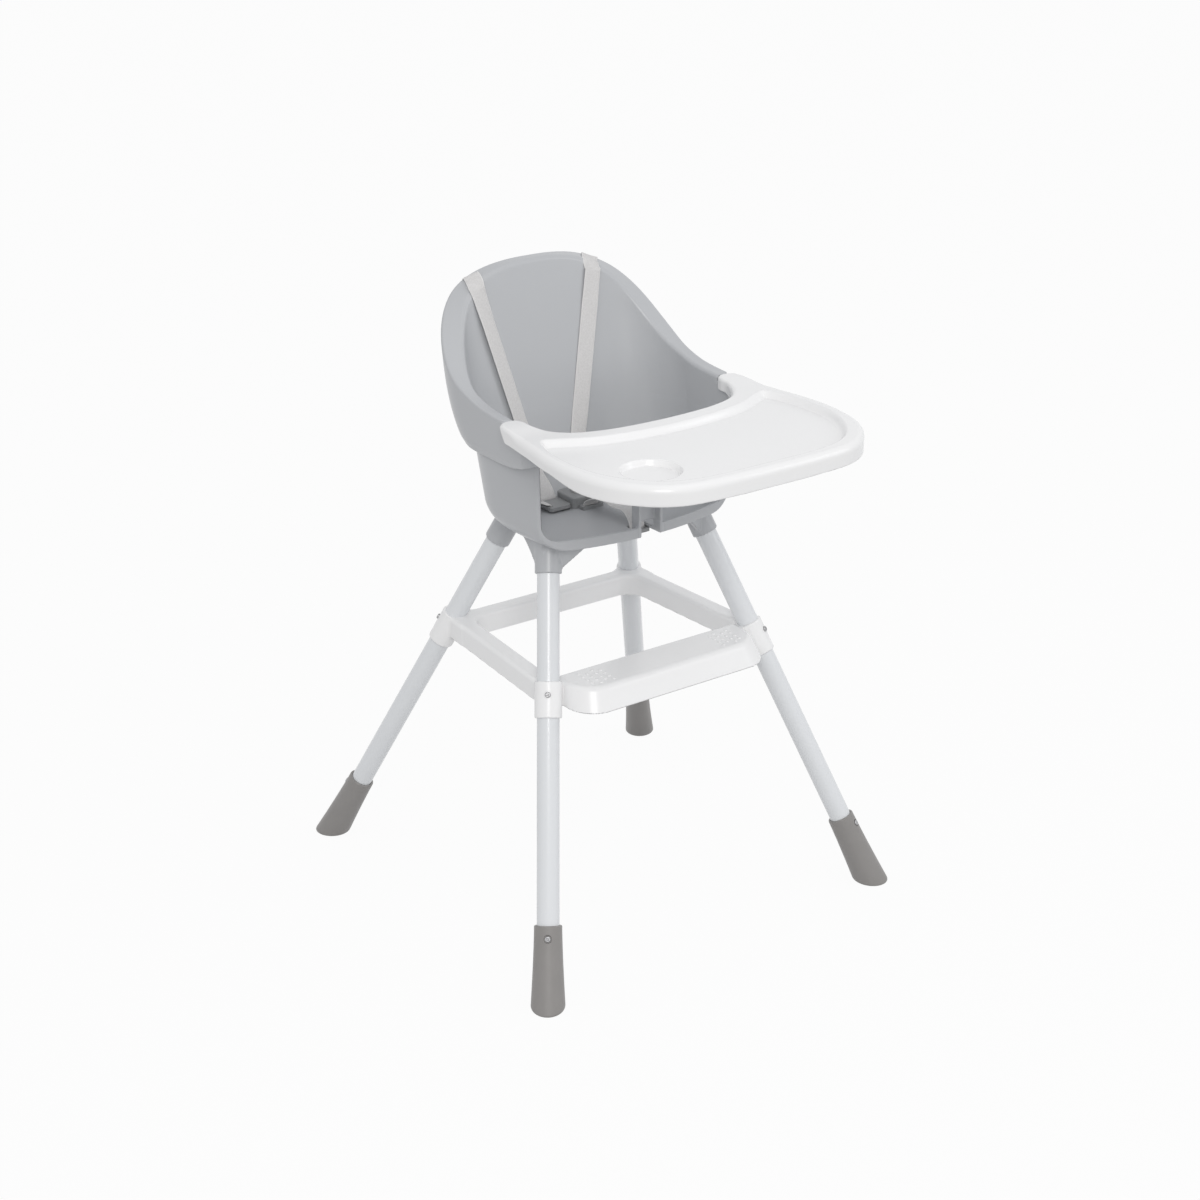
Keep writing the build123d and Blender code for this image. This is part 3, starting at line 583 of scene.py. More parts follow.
trayPlan = {
    "topZ": 718.0, "lowZ": 692.0, "sideLowZ": 700.0, "sideY": -285.0, "sideRun": 90.0, "wall": 4.2,
    "spread": 3.4,
    "edge": 9.0, "lowEdge": 1.6, "drop": 9.0, "slope": 11.0, "steep": 0.9,
    "riseY": -130.0, "riseRun": 70.0, "thinRun": 50.0, "tipZ": 721.0, "tipY": -56.0, "tipEdge": 4.5,
    "tipR": 2.0,
    "tipSlant": 1.1, "slantX": 165.0, "slantRun": 15.0,
    "tongueY": -100.0, "tongueRun": 20.0, "tongueX": 176.0, "tongueStep": 2.0, "innerLowZ": 703.0,
    "bayX": 174.2, "bayHalfW": 12.2, "bayY": -76.0,
    "cup": (-116.0, -287.0), "cupR": 37.0, "cupDepth": 8.0, "cupSlope": 5.5,
    "low": (-216, -388, 690), "high": (216, -50, 723), "voxel": 1.8,
    "outline": [
        (0, trayFrontY), (60, -384.2), (110, -381), (137, -374), (158, -362), (175, -346), (190, -327),
        (202, -302),
        (209.5, -271), (213, -231), (210.5, -190), (204, -150), (197, -100), (193.4, -72), (188.5, -60.5),
        (175, -55.5), (162.5, -60.5), (158, -72), (156.5, -88), (147, -109), (127.5, -129), (104, -140),
        (64, -148.5), (0, -152),
    ],
    "sunk": [
        (0, -369), (60, -368.4), (98, -365), (129, -356), (152, -341), (173, -316), (188, -288),
        (196.5, -257),
        (199, -222), (197.5, -190), (192, -162), (184, -144), (174, -138), (158, -145), (116, -165),
        (60, -176.5), (0, -180),
    ],
}


def closedCurve(half, steps=8):
    # Smooth closed curve through the points of one half and their mirror images
    other = [(-x, y) for x, y in reversed(half) if x > 0]
    points = np.array(half + other, float)
    before, after, later = (np.roll(points, n, 0) for n in (1, -1, -2))
    runs = []
    for t in np.linspace(0, 1, steps, endpoint=False):
        a = -0.5 * t + t * t - 0.5 * t ** 3
        b = 1 - 2.5 * t * t + 1.5 * t ** 3
        c = 0.5 * t + 2 * t * t - 1.5 * t ** 3
        d = -0.5 * t * t + 0.5 * t ** 3
        runs.append(a * before + b * points + c * after + d * later)
    return np.stack(runs, 1).reshape(-1, 2)


def planTable(curve, margin=14.0, pitch=1.0):
    # Signed distance to a closed plan curve, kept on a grid and read between its points
    low = curve.min(0) - margin
    count = np.ceil((curve.max(0) + margin - low) / pitch).astype(int) + 1
    columns, rows = (low[axis] + pitch * np.arange(count[axis]) for axis in (0, 1))
    gx, gy = np.meshgrid(columns, rows, indexing="ij")
    best = np.full(gx.shape, np.inf)
    inside = np.zeros(gx.shape, bool)
    for (ax, ay), (bx, by) in zip(curve, np.roll(curve, -1, 0)):
        dx, dy = bx - ax, by - ay
        t = np.clip(((gx - ax) * dx + (gy - ay) * dy) / (dx * dx + dy * dy), 0, 1)
        best = np.minimum(best, (gx - ax - t * dx) ** 2 + (gy - ay - t * dy) ** 2)
        if ay != by:
            inside ^= ((ay > gy) != (by > gy)) & (gx < ax + (gy - ay) * dx / dy)
    table = np.where(inside, -1, 1) * np.sqrt(best)

    def read(x, y):
        u = np.clip((x - low[0]) / pitch, 0, count[0] - 1.001)
        v = np.clip((y - low[1]) / pitch, 0, count[1] - 1.001)
        i, j = u.astype(int), v.astype(int)
        u, v = u - i, v - j
        first = table[i, j] * (1 - u) + table[i + 1, j] * u
        second = table[i, j + 1] * (1 - u) + table[i + 1, j + 1] * u
        return first * (1 - v) + second * v

    return read


trayEdge = planTable(closedCurve(trayPlan["outline"]))
traySunk = planTable(closedCurve(trayPlan["sunk"]))


def trayTop(x, y, spread):
    # Height of the upper face, or of the lower one with its slopes spread by a wall
    p = trayPlan
    rise = (p["tipZ"] - p["topZ"]) * ease((y - p["riseY"]) / p["riseRun"])
    sunk = p["drop"] * ease((spread - traySunk(x, y)) / p["slope"])
    away = np.hypot(x - p["cup"][0], y - p["cup"][1])
    cup = p["cupDepth"] * ease((p["cupR"] + p["cupSlope"] / 2 + spread - away) / p["cupSlope"])
    return p["topZ"] + rise - sunk - cup


def tipLean(x):
    # The end of each tongue stands upright on the inside and leans on the outside
    return trayPlan["tipSlant"] * ease((np.abs(x) - trayPlan["slantX"]) / trayPlan["slantRun"])


def trayField(x, y, z):
    p = trayPlan
    edge = trayEdge(x, y)
    top = trayTop(x, y, 0.0)
    radius = p["edge"] + (p["tipEdge"] - p["edge"]) * ease((y - p["riseY"]) / p["thinRun"])
    body = roundMax(edge, (z - top) * p["steep"], radius)
    below = trayTop(x, y, p["spread"]) - p["wall"]
    under = roundMax(edge + p["wall"], (z - below) * p["steep"], p["edge"] - p["wall"])
    low = p["lowZ"] + (p["sideLowZ"] - p["lowZ"]) * ease((y - p["sideY"]) / p["sideRun"])
    tongue = ease((y - p["tongueY"]) / p["tongueRun"]) * ease((p["tongueX"] - np.abs(x)) / p["tongueStep"])
    low = low + (p["innerLowZ"] - low) * tongue
    body = roundMax(body, low - z, p["lowEdge"])
    body = np.maximum(body, -under)
    slant = (y - p["tipY"] + tipLean(x) * (p["tipZ"] - z)) / math.hypot(1, p["tipSlant"])
    body = roundMax(body, slant, p["tipR"])
    # Room for the end of each arm, under its tongue
    bay = np.maximum(np.abs(np.abs(x) - p["bayX"]) - p["bayHalfW"], p["bayY"] - y)
    return np.maximum(body, -np.maximum(bay, z - top + p["wall"]))


trayMesh = skinField(trayField, trayPlan["low"], trayPlan["high"], trayPlan["voxel"] * coarse)
servingTray = makePiece("servingTray", *trayMesh, whitePlastic)
placePiece(servingTray, "tray", "white_plastic", "tray")


# Seat shell: back and arms with a rolled rim, a flared skirt below them, and the rim's height by angle

shellPlan = {
    "skirtZ": 657.0, "skirtHalfW": 175.5, "skirtFlare": 0.33, "skirtBackY": 118.0, "skirtBackFlare": 0.7,
    "skirtEdge": 1.0, "sweepY": -35.0, "sweepRun": 85.0, "sweep": 19.0,
    "halfW": 185.5, "halfFall": 7.0, "halfRun": 50.0, "backY": 161.0, "backFall": 38.0, "backRun": 58.0,
    "fallZ": 664.0, "fallLow": -20.0, "backR": 96.0, "frontY": -116.0, "frontR": 22.0,
    "innerHalfW": 164.3, "innerLowY": 96.5, "innerRise": 0.2146, "innerR": 82.0, "innerLowR": 93.0,
    "innerRun": 150.0, "openY": -416.0, "openR": 10.0,
    "endIn": 5.0, "endY": -60.0, "endRun": 40.0, "endZ": 682.0, "endFade": 8.0,
    "outerEdge": 3.6, "innerEdge": 4.8, "tilt": 0.12, "tiltRun": 30.0,
    "seamT": 0.15, "seamFade": 0.6, "seamZ": 661.0, "seamRun": 18.0, "seatZ": 713.0, "tipGap": 0.7,
    "pivotY": 20.0, "rimReach": 180.0, "rimSpread": 5.0, "rimSpan": 18, "crownFrom": 40.0, "crownRun": 50.0,
    "rim": [
        (-50, 720), (-23, 722), (-6, 726), (10, 741), (22, 770), (32, 806), (44, 840), (60, 863), (75, 868.5),
        (90, 869),
    ],
    "low": (-188, -120, 625), "high": (188, 164, 874), "voxel": 1.8,
}


def rimTable():
    # Rim height for each degree, with the corners between its stations softened and its crown kept
    p = shellPlan
    angles, heights = zip(*p["rim"])
    fine = np.arange(-90, 271, 1.0)
    folded = np.where(fine > 90, 180 - fine, fine)
    smooth = soften(np.interp(folded, angles, heights), p["rimSpread"], p["rimSpan"])
    rise = ease((fine - p["crownFrom"]) / p["crownRun"])
    crown = rise * rise[::-1]
    return fine, smooth + (heights[-1] - smooth[len(fine) // 2]) * crown


rimAngles, rimHeights = rimTable()
rimSlopes = np.gradient(rimHeights, np.radians(rimAngles)) / shellPlan["rimReach"]


def openPlan(x, y, half, back, backR, front, frontR):
    # Plan with round rear corners and round front corners
    rear = roundMax(np.abs(x) - half, y - back, backR)
    fore = roundMax(np.abs(x) - half, front - y, frontR)
    return np.maximum(rear, fore)


def shellOutside(x, y, z):
    p = shellPlan
    above = np.maximum(z - p["fallZ"], p["fallLow"])
    half = p["halfW"] - p["halfFall"] * np.exp(-above / p["halfRun"])
    back = p["backY"] - p["backFall"] * np.exp(-above / p["backRun"])
    low = z - p["skirtZ"]
    half = np.minimum(half, p["skirtHalfW"] + p["skirtFlare"] * low)
    back = np.minimum(back, p["skirtBackY"] + p["skirtBackFlare"] * low)
    return openPlan(x, y, half, back, p["backR"], p["frontY"], p["frontR"])


def seatRoom(x, y, z, half):
    # The space for the child, which shell and base go round together
    p = shellPlan
    back = p["innerLowY"] + p["innerRise"] * (z - p["skirtZ"])
    radius = p["innerLowR"] + (p["innerR"] - p["innerLowR"]) * ease((z - p["skirtZ"]) / p["innerRun"])
    return openPlan(x, y, half, back, radius, p["openY"], p["openR"])


def shellInside(x, y, z):
    # The skirt is thicker inside at the front ends of the arms
    p = shellPlan
    end = ease((p["endY"] - y) / p["endRun"]) * ease((p["endZ"] - z) / p["endFade"])
    return seatRoom(x, y, z, p["innerHalfW"] - p["endIn"] * end)


def rimTop(x, y, z, outer):
    p = shellPlan
    turn = np.degrees(np.arctan2(y - p["pivotY"], np.abs(x)))
    height = np.interp(turn, rimAngles, rimHeights)
    slope = np.interp(turn, rimAngles, rimSlopes)
    drop = p["tilt"] * np.clip(-outer, 0, p["tiltRun"])
    return (z - height + drop) / np.sqrt(1 + slope ** 2)


def shellField(x, y, z):
    p = shellPlan
    outer = shellOutside(x, y, z)
    inner = shellInside(x, y, z)
    top = rimTop(x, y, z, outer)
    tip = trayPlan["tipY"] + p["tipGap"] - tipLean(x) * (trayPlan["tipZ"] - z)
    notch = np.minimum(np.minimum(z - p["seatZ"], p["tipGap"] - trayEdge(x, y)), tip - y)
    top = np.maximum(top, notch)
    body = np.maximum(roundMax(outer, top, p["outerEdge"]), roundMax(-inner, top, p["innerEdge"]))
    skirt = p["skirtZ"] + p["sweep"] * (np.maximum(p["sweepY"] - y, 0) / p["sweepRun"]) ** 2
    return roundMax(body, skirt - z, p["skirtEdge"])


shellMesh = skinField(shellField, shellPlan["low"], shellPlan["high"], shellPlan["voxel"] * coarse)
seatShell = makePiece("seatShell", *shellMesh, greyPlastic)
placePiece(seatShell, "chair", "grey_plastic", "seat_shell")


# Seat base: bucket, front mouth with its lip, crotch post and leg sockets

basePlan = {
    "bottomZ": 546.0, "topZ": 672.0, "rimZ": 680.0, "rimEdge": 1.2, "floorZ": 552.0, "wall": 4.4,
    "edgeR": 38.0,
    "lowHalfW": 165.0, "topHalfW": 171.5, "lowBackY": 80.0, "topBackY": 105.0, "planShares": (-0.1, 1.1),
    "backR": 98.0, "sideR": 500.0, "frontR": 428.6, "frontMidY": -130.0, "frontEdge": 2.6,
    "lipT": 6.0, "lipR": 3.0, "lipZ": 561.0, "lipW": 5.2, "mouthR": 22.0, "mouthDeep": 24.0, "mouthEdge": 1.8,
    "postHalf": 19.5, "postRib": 4.5, "postDepth": 17.0, "postTopZ": 660.0, "postLift": 2.0, "postEdge": 1.2,
    "postFillet": 2.0, "plateT": 4.2, "plateEdge": 1.0, "plateFillet": 1.5,
    "capT": 5.0, "capBack": 1.0, "capEdge": 1.5, "capFillet": 1.0,
    "sleeveR": 18.0, "sleeveSink": 14.0, "sleeveEdge": 1.2, "sleeveFillet": 4.0,
    "webT": 6.5, "webLift": 4.0, "webSink": 12.0, "webSteep": 0.75, "webFillet": 2.0,
    # Webs of a leg on the child's left: direction, run, place beside the leg, hollow of the lower edge
    "frontWebs": [(-0.9, -0.44, 70.0, 0.0, 1.0), (0.0, 1.0, 74.0, 6.0, 1.7)],
    "rearWebs": [(0.0, -1.0, 62.0, 0.0, 2.6), (-1.0, 0.0, 58.0, 0.0, 1.3)],
    "windowZ": 563.0, "windowAhead": 9.0, "windowShort": 3.0, "crotchY": -98.0, "cutZ": (500.0, 570.0),
    "slotHalfW": 15.0, "slotHalfT": 3.8, "slotR": 1.0, "lapX": 92.0, "lapZ": 592.0, "lapY": (40.0, 140.0),
    "lapR": 1.5, "cutEdge": 0.8,
    "low": (-176, -136, 484), "high": (176, 114, 684), "voxel": 2.05,
}


def bucketPlan(x, y, z):
    # Nearly straight sides and a round back, both wider at the top
    p = basePlan
    share = np.clip((z - p["bottomZ"]) / (p["topZ"] - p["bottomZ"]), *p["planShares"])
    half = p["lowHalfW"] + (p["topHalfW"] - p["lowHalfW"]) * share
    back = p["lowBackY"] + (p["topBackY"] - p["lowBackY"]) * share
    turnY = back - p["backR"]
    rear = np.hypot(np.maximum(np.abs(x) - half + p["backR"], 0), y - turnY) - p["backR"]
    side = np.hypot(np.maximum(np.abs(x) - half + p["sideR"], 0), y - turnY) - p["sideR"]
    return np.where(y > turnY, rear, side)


def postField(x, y, z):
    # Two ribs with a plate behind them and a cap on top
    p = basePlan
    half, top, front = p["postHalf"], p["postTopZ"], p["frontMidY"]
    back = front + p["postDepth"]
    low = p["bottomZ"] + p["postLift"]
    ribs = blockField(np.abs(x), y, z, (half - p["postRib"], front, low), (half, back, top), p["postEdge"])
    plate = blockField(x, y, z, (-half, back - p["plateT"], p["windowZ"]), (half, back, top), p["plateEdge"])
    cap = blockField(x, y, z, (-half, front + p["capBack"], top - p["capT"]), (half, back, top), p["capEdge"])
    return roundMin(roundMin(ribs, plate, p["plateFillet"]), cap, p["capFillet"])


def webField(x, y, z, leg, web):
    # Web between a socket and the underside, with a straight or hollow lower edge
    p = basePlan
    turnX, turnY, run, aside, hollow = web
    lowZ = leg.sleeveZ + p["webLift"]
    topZ = p["bottomZ"] + p["webSink"]
    spot = leg.at(lowZ)
    along = (x - spot[0]) * turnX + (y - spot[1]) * turnY
    across = (x - spot[0]) * turnY - (y - spot[1]) * turnX - aside
    start = legPlan["radius"]
    share = np.clip((along - start) / (run - start), 0, 1)
    edge = topZ - (topZ - lowZ) * (1 - share) ** hollow
    slab = np.maximum(np.abs(across) - p["webT"] / 2, np.maximum(-along, along - run))
    return np.maximum(slab, np.maximum((edge - z) * p["webSteep"], z - topZ))


def websOf(leg):
    webs = basePlan["frontWebs" if leg.row < 0 else "rearWebs"]
    side = leg.side
    return [(side * turnX, turnY, run, side * aside, hollow) for turnX, turnY, run, aside, hollow in webs]


def webbingCuts(x, y, z):
    # Openings for the webbing: the post's window, the slot in the floor and the two slots low in the back
    p = basePlan
    lowZ, highZ = p["cutZ"]
    half, crotchY = p["postHalf"] - p["postRib"], p["crotchY"]
    low = (-half, p["frontMidY"] - p["windowAhead"], lowZ)
    window = blockField(x, y, z, low, (half, crotchY - p["windowShort"], p["windowZ"]), p["slotR"])
    half, thick = p["slotHalfW"], p["slotHalfT"]
    slot = blockField(x, y, z, (-half, crotchY - thick, lowZ), (half, crotchY + thick, highZ), p["slotR"])
    low = (p["lapX"] - half, p["lapY"][0], p["lapZ"] - thick)
    high = (p["lapX"] + half, p["lapY"][1], p["lapZ"] + thick)
    lap = blockField(np.abs(x), y, z, low, high, p["lapR"])
    return np.minimum(np.minimum(window, slot), lap)


def baseField(x, y, z):
    p = basePlan
    plan = bucketPlan(x, y, z)
    front = np.hypot(x, y - p["frontMidY"] - p["frontR"]) - p["frontR"]
    solid = roundMax(roundMax(plan, p["bottomZ"] - z, p["edgeR"]), front, p["frontEdge"])
    fade = shellPlan["seamFade"] * ease((z - shellPlan["seamZ"]) / shellPlan["seamRun"])
    room = seatRoom(x, y, z, shellPlan["innerHalfW"]) + shellPlan["seamT"] - fade
    inside = roundMax(np.maximum(plan + p["wall"], room), p["floorZ"] - z, p["edgeR"] - p["wall"])
    inside = roundMax(inside, front + p["lipT"], p["lipR"])
    mouth = roundMax(plan + p["lipW"], p["lipZ"] - z, p["mouthR"])
    mouth = np.maximum(mouth, -p["mouthDeep"] - front)
    for leg in legs:
        sleeve = leg.rod(x, y, z, p["sleeveR"], leg.sleeveZ, p["bottomZ"] + p["sleeveSink"], p["sleeveEdge"])
        solid = roundMin(solid, sleeve, p["sleeveFillet"])
        for web in websOf(leg):
            solid = roundMin(solid, webField(x, y, z, leg, web), p["webFillet"])
    solid = np.maximum(solid, -inside)
    solid = roundMax(solid, -mouth, p["mouthEdge"])
    solid = roundMax(solid, z - p["rimZ"], p["rimEdge"])
    solid = roundMin(solid, postField(x, y, z), p["postFillet"])
    return roundMax(solid, -webbingCuts(x, y, z), p["cutEdge"])


baseMesh = skinField(baseField, basePlan["low"], basePlan["high"], basePlan["voxel"] * coarse)
seatBase = makePiece("seatBase", *baseMesh, greyPlastic)
placePiece(seatBase, "chair", "grey_plastic", "seat_base")


# Webbing

strapPlan = {
    "width": 24.0, "thick": 1.6, "columns": 9, "selvage": 0.62, "off": 1.5, "spacing": 2.0,
    "buckle": (-12.0, 20.0), "shoulderX": 43.4, "shoulderY": 14.0, "lapEndX": 54.4, "backX": 94.0,
    "inX": {-1: -99.0, 1: 90.0}, "overX": {-1: -95.0, 1: 101.0}, "turn": {-1: 17.0, 1: 10.0},
    "turnZ": 600.0, "turnRun": 60.0, "hugGap": 9.0, "hugRun": 6.0, "hugLowZ": 655.0, "hugZ": 790.0,
    "hugRise": 45.0,
    "lapTurnZ": 590.5, "lapFlatZ": 564.0, "bend": 4.0, "bendSpan": 9,
}


def lengthAlong(line):
    return np.concatenate([[0], np.cumsum(np.linalg.norm(np.diff(line, axis=0), axis=1))])


def evenly(line, spacing):
    gone = lengthAlong(line)
    count = max(int(gone[-1] / spacing), 2)
    marks = np.linspace(0, gone[-1], count + 1)
    return np.stack([np.interp(marks, gone, line[:, axis]) for axis in range(3)], 1)


def smoothPath(points, spacing, perSpan=24):
    # Points on a rounded line through the stations, evenly spaced
    points = np.array(points, float)
    ends = np.concatenate([[2 * points[0] - points[1]], points, [2 * points[-1] - points[-2]]])
    fine = []
    for p0, p1, p2, p3 in zip(ends, ends[1:], ends[2:], ends[3:]):
        for t in np.linspace(0, 1, perSpan, endpoint=False):
            fine.append(0.5 * (2 * p1 + (p2 - p0) * t + (2 * p0 - 5 * p1 + 4 * p2 - p3) * t ** 2
                               + (3 * p1 - p0 - 3 * p2 + p3) * t ** 3))
    return evenly(np.array(fine + [points[-1]]), spacing)


def ribbonPiece(name, line, across):
    # Flat webbing on a line: a closed band with soft selvages, and its weave's own map
    p = strapPlan
    run = np.gradient(line, axis=0)
    run /= np.linalg.norm(run, axis=1)[:, None]
    across = across - run * (across * run).sum(1)[:, None]
    across /= np.linalg.norm(across, axis=1)[:, None]
    flat = np.cross(run, across)
    shares = np.linspace(-1, 1, p["columns"])
    section = []
    for face, row in ((1, shares), (-1, shares[::-1])):
        for share in row:
            thin = p["selvage"] if abs(share) == 1 else 1.0
            section.append((share * p["width"] / 2, face * thin * p["thick"] / 2, (share + 1) / 2))
    count = len(section)
    points = np.stack([line + across * side + flat * up for side, up, _ in section], 1).reshape(-1, 3)
    gone = lengthAlong(line)
    faces = []
    maps = []
    for row in range(len(line) - 1):
        for k in range(count):
            n = (k + 1) % count
            a, b = row * count, row * count + count
            faces.append((a + k, b + k, b + n, a + n))
            maps.append([(section[k][2], gone[row]), (section[k][2], gone[row + 1]),
                         (section[n][2], gone[row + 1]), (section[n][2], gone[row])])
    for end, turn in ((0, 1), ((len(line) - 1) * count, -1)):
        for k in range(count // 2 - 1):
            quad = (end + k, end + k + 1, end + count - 2 - k, end + count - 1 - k)
            faces.append(quad[::turn])
            maps.append([(0.5, 0)] * 4)
    piece = makePiece(name, points, faces, None, webbing)
    layer = piece.data.uv_layers.new(name="weave")
    layer.data.foreach_set("uv", np.array(maps, float).ravel())
    return piece


def strapLine(side):
    # Shoulder run, over the rim, down the back, in through the slot and across the lap
    p, s = strapPlan, side
    bx, by = p["buckle"]
    loopX, loopY = bx + p["shoulderX"] * s, by + p["shoulderY"]
    inX, overX, backX = p["inX"][s], p["overX"][s], p["backX"] * s
    foot = (42 * s + 0.8 * bx, 87, 625)
    head = (inX, 132, 841)
    front = smoothPath([
        (loopX, loopY, 555), (loopX, loopY, 563), (loopX - 0.8 * s, loopY + 12, 576),
        (loopX - 2.4 * s, loopY + 34, 589), (foot[0] - 6 * s, 81, 604), foot,
    ], p["spacing"])
    rise = evenly(np.array([foot, head]), p["spacing"])
    over = smoothPath([
        head, (inX, 137, 850), ((inX + overX) / 2, 148, 855), (overX, 158, 850), (overX, 159, 840),
        (overX, 156, 780), (backX, 146, 720), (backX, 131, 676), (backX, 121, 657),
    ], p["spacing"])
    for turn in range(6):
        over, _ = pull(shellField, over, p["off"])
    over = smoothPath(over[::5], p["spacing"])
    lapX, endX = basePlan["lapX"] * s, bx + p["lapEndX"] * s
    span = endX - lapX
    lap = smoothPath([
        over[-1], (backX, 116, 645), (backX - s, 102, 612), (lapX, 95, 595), (lapX, 86, 591.6),
        (lapX, 74, 590),
        (lapX + span * 0.08, 57, 577.6), (lapX + span * 0.3, 41.6, 569.5), (lapX + span * 0.62, 25, 565),
        (endX + 7 * s, by, 563.4), (endX + 0.8 * s, by, 561.4), (endX, by, 555),
    ], p["spacing"])
    return evenly(np.concatenate([front, rise[1:], over[1:], lap[1:]]), p["spacing"])


def strapAcross(line, side):
    # Across direction: level on the runs, along the surface over the rim, turned to the tongue on the lap
    p = strapPlan
    z = line[:, 2]
    shoulder = np.arange(len(line)) / len(line) < 0.5
    away = shellField(*line.T)
    _, slope = pull(shellField, line)
    hug = np.cross(slope, np.gradient(line, axis=0))
    hug /= np.maximum(np.linalg.norm(hug, axis=1), 1e-6)[:, None]
    hug *= np.where(hug[:, :1] < 0, -1, 1)
    near = np.clip((p["hugGap"] - away) / p["hugRun"], 0, 1) * (z > p["hugLowZ"])
    near = near * np.where(shoulder, ease((z - p["hugZ"]) / p["hugRise"]), 1.0)
    low = ease((p["lapTurnZ"] - z) / (p["lapTurnZ"] - p["lapFlatZ"])) * ~shoulder
    lean = p["turn"][side] * shoulder * ease((z - p["turnZ"]) / p["turnRun"])
    turn = np.radians(90 * low + lean)
    level = np.stack([np.cos(turn), -side * np.sin(turn), 0 * turn], 1)
    across = hug * near[:, None] + level * (1 - near[:, None])
    return np.stack([soften(across[:, axis], p["bend"], p["bendSpan"]) for axis in range(3)], 1)


def buildHarness(hand, side):
    line = strapLine(side)
    piece = ribbonPiece("harnessStrap_" + hand, line, strapAcross(line, side))
    x = (strapPlan["buckle"][0] + strapPlan["lapEndX"] * side) * metre
    y = (strapPlan["buckle"][1] + shiftY) * metre
    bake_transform(piece, "chair", "tongue_" + hand, start=(x, y, 0.604), end=(x, y, 0.566))
    declarePiece(piece, "webbing", "harness_strap_" + hand)


for hand, side in (("right", -1), ("left", 1)):
    buildHarness(hand, side)


def buildCrotchStrap():
    # From the buckle's loop over the seat and down through the floor
    bx, endY = strapPlan["buckle"][0], basePlan["crotchY"]
    line = smoothPath([
        (bx, -8, 553.2), (bx, -8, 561), (bx + 2, -20, 569), (bx + 5, -40, 574), (-4, -60, 570), (0, -80, 569),
        (0, endY + 5, 561), (0, endY, 550), (0, endY, 539.6),
    ], strapPlan["spacing"])
    across = np.tile((1.0, 0.0, 0.0), (len(line), 1))
    placePiece(ribbonPiece("crotchStrap", line, across), "chair", "webbing", "crotch_strap")


buildCrotchStrap()


# Screws: one template, instanced on points that carry the way each screw faces

screwPlan = {
    "headR": 4.0, "headT": 2.4, "headEdge": 1.6, "sink": 0.6, "slot": 2.3, "slotW": 0.45, "slotT": 1.1,
    "slotEdge": 0.15, "footSeat": 17.3, "shellPlace": (45.0, 112.0, 666.0),
    "low": (-4.6, -4.6, -1), "high": (4.6, 4.6, 3), "voxel": 0.3,
}


def screwField(x, y, z):
    # Pan head with a cross recess
    p = screwPlan
    head = roundMax(np.hypot(x, y) - p["headR"], z - p["headT"], p["headEdge"])
    head = np.maximum(head, -p["sink"] - z)
    bar = np.minimum(
        np.maximum(np.abs(x) - p["slot"], np.abs(y) - p["slotW"]),
        np.maximum(np.abs(y) - p["slot"], np.abs(x) - p["slotW"]),
    )
    cross = np.maximum(bar, p["headT"] - p["slotT"] - z)
    return roundMax(head, -cross, p["slotEdge"])


def screwTemplate():
    points, faces, _ = skinField(screwField, screwPlan["low"], screwPlan["high"], screwPlan["voxel"])
    mesh = bpy.data.meshes.new("screwTemplate")
    mesh.from_pydata((points * metre).tolist(), [], faces.tolist())
    mesh.shade_smooth()
    return addObject("screwTemplate", mesh)


def scatterTree():
    # Instances of a template on points, each turned to its point's aim
    tree = bpy.data.node_groups.new("setPieces", "GeometryNodeTree")
    sockets = {}
    inputs = (("Points", "Geometry"), ("Template", "Object"), ("Size", "Float"), ("Finish", "Material"))
    for name, kind in inputs:
        socket = tree.interface.new_socket(name, in_out="INPUT", socket_type="NodeSocket" + kind)
        sockets[name] = socket.identifier
    tree.interface.new_socket("Mesh", in_out="OUTPUT", socket_type="NodeSocketGeometry")
    add = tree.nodes.new
    start, end = add("NodeGroupInput"), add("NodeGroupOutput")
    info = add("GeometryNodeObjectInfo")
    aim = add("GeometryNodeInputNamedAttribute")
    aim.data_type = "FLOAT_VECTOR"
    aim.inputs["Name"].default_value = "aim"
    turn = add("FunctionNodeAlignRotationToVector")
    turn.axis = "Z"
    instance = add("GeometryNodeInstanceOnPoints")
    real = add("GeometryNodeRealizeInstances")
    paint = add("GeometryNodeSetMaterial")
    links = [
        (start.outputs["Points"], instance.inputs["Points"]),
        (start.outputs["Template"], info.inputs["Object"]),
        (info.outputs["Geometry"], instance.inputs["Instance"]),
        (aim.outputs["Attribute"], turn.inputs["Vector"]),
        (turn.outputs["Rotation"], instance.inputs["Rotation"]),
        (start.outputs["Size"], instance.inputs["Scale"]),
        (instance.outputs["Instances"], real.inputs["Geometry"]),
        (real.outputs["Geometry"], paint.inputs["Geometry"]),
        (start.outputs["Finish"], paint.inputs["Material"]),
        (paint.outputs["Geometry"], end.inputs["Mesh"]),
    ]
    for source, target in links:
        tree.links.new(source, target)
    return tree, sockets


setPieces, setSockets = scatterTree()


def scatter(name, spots, template, size, finish):
    # A plain mesh of the template set on each spot, a place and a direction
    mesh = bpy.data.meshes.new(name + "Points")
    mesh.from_pydata(inFrame([place for place, _ in spots]).tolist(), [], [])
    aim = mesh.attributes.new("aim", "FLOAT_VECTOR", "POINT")
    aim.data.foreach_set("vector", np.array([way for _, way in spots], float).ravel())
    holder = addObject(name + "Points", mesh)
    modifier = holder.modifiers.new("setPieces", "NODES")
    modifier.node_group = setPieces
    for key, value in (("Template", template), ("Size", size), ("Finish", finish)):
        modifier[setSockets[key]] = value
    bpy.context.view_layer.update()
    graph = bpy.context.evaluated_depsgraph_get()
    made = bpy.data.meshes.new_from_object(holder.evaluated_get(graph), depsgraph=graph)
    made.name = name
    holder.modifiers.remove(modifier)
    bpy.data.objects.remove(holder)
    for spare in [a.name for a in made.attributes if a.name == "aim"]:
        made.attributes.remove(made.attributes[spare])
    return addObject(name, made)


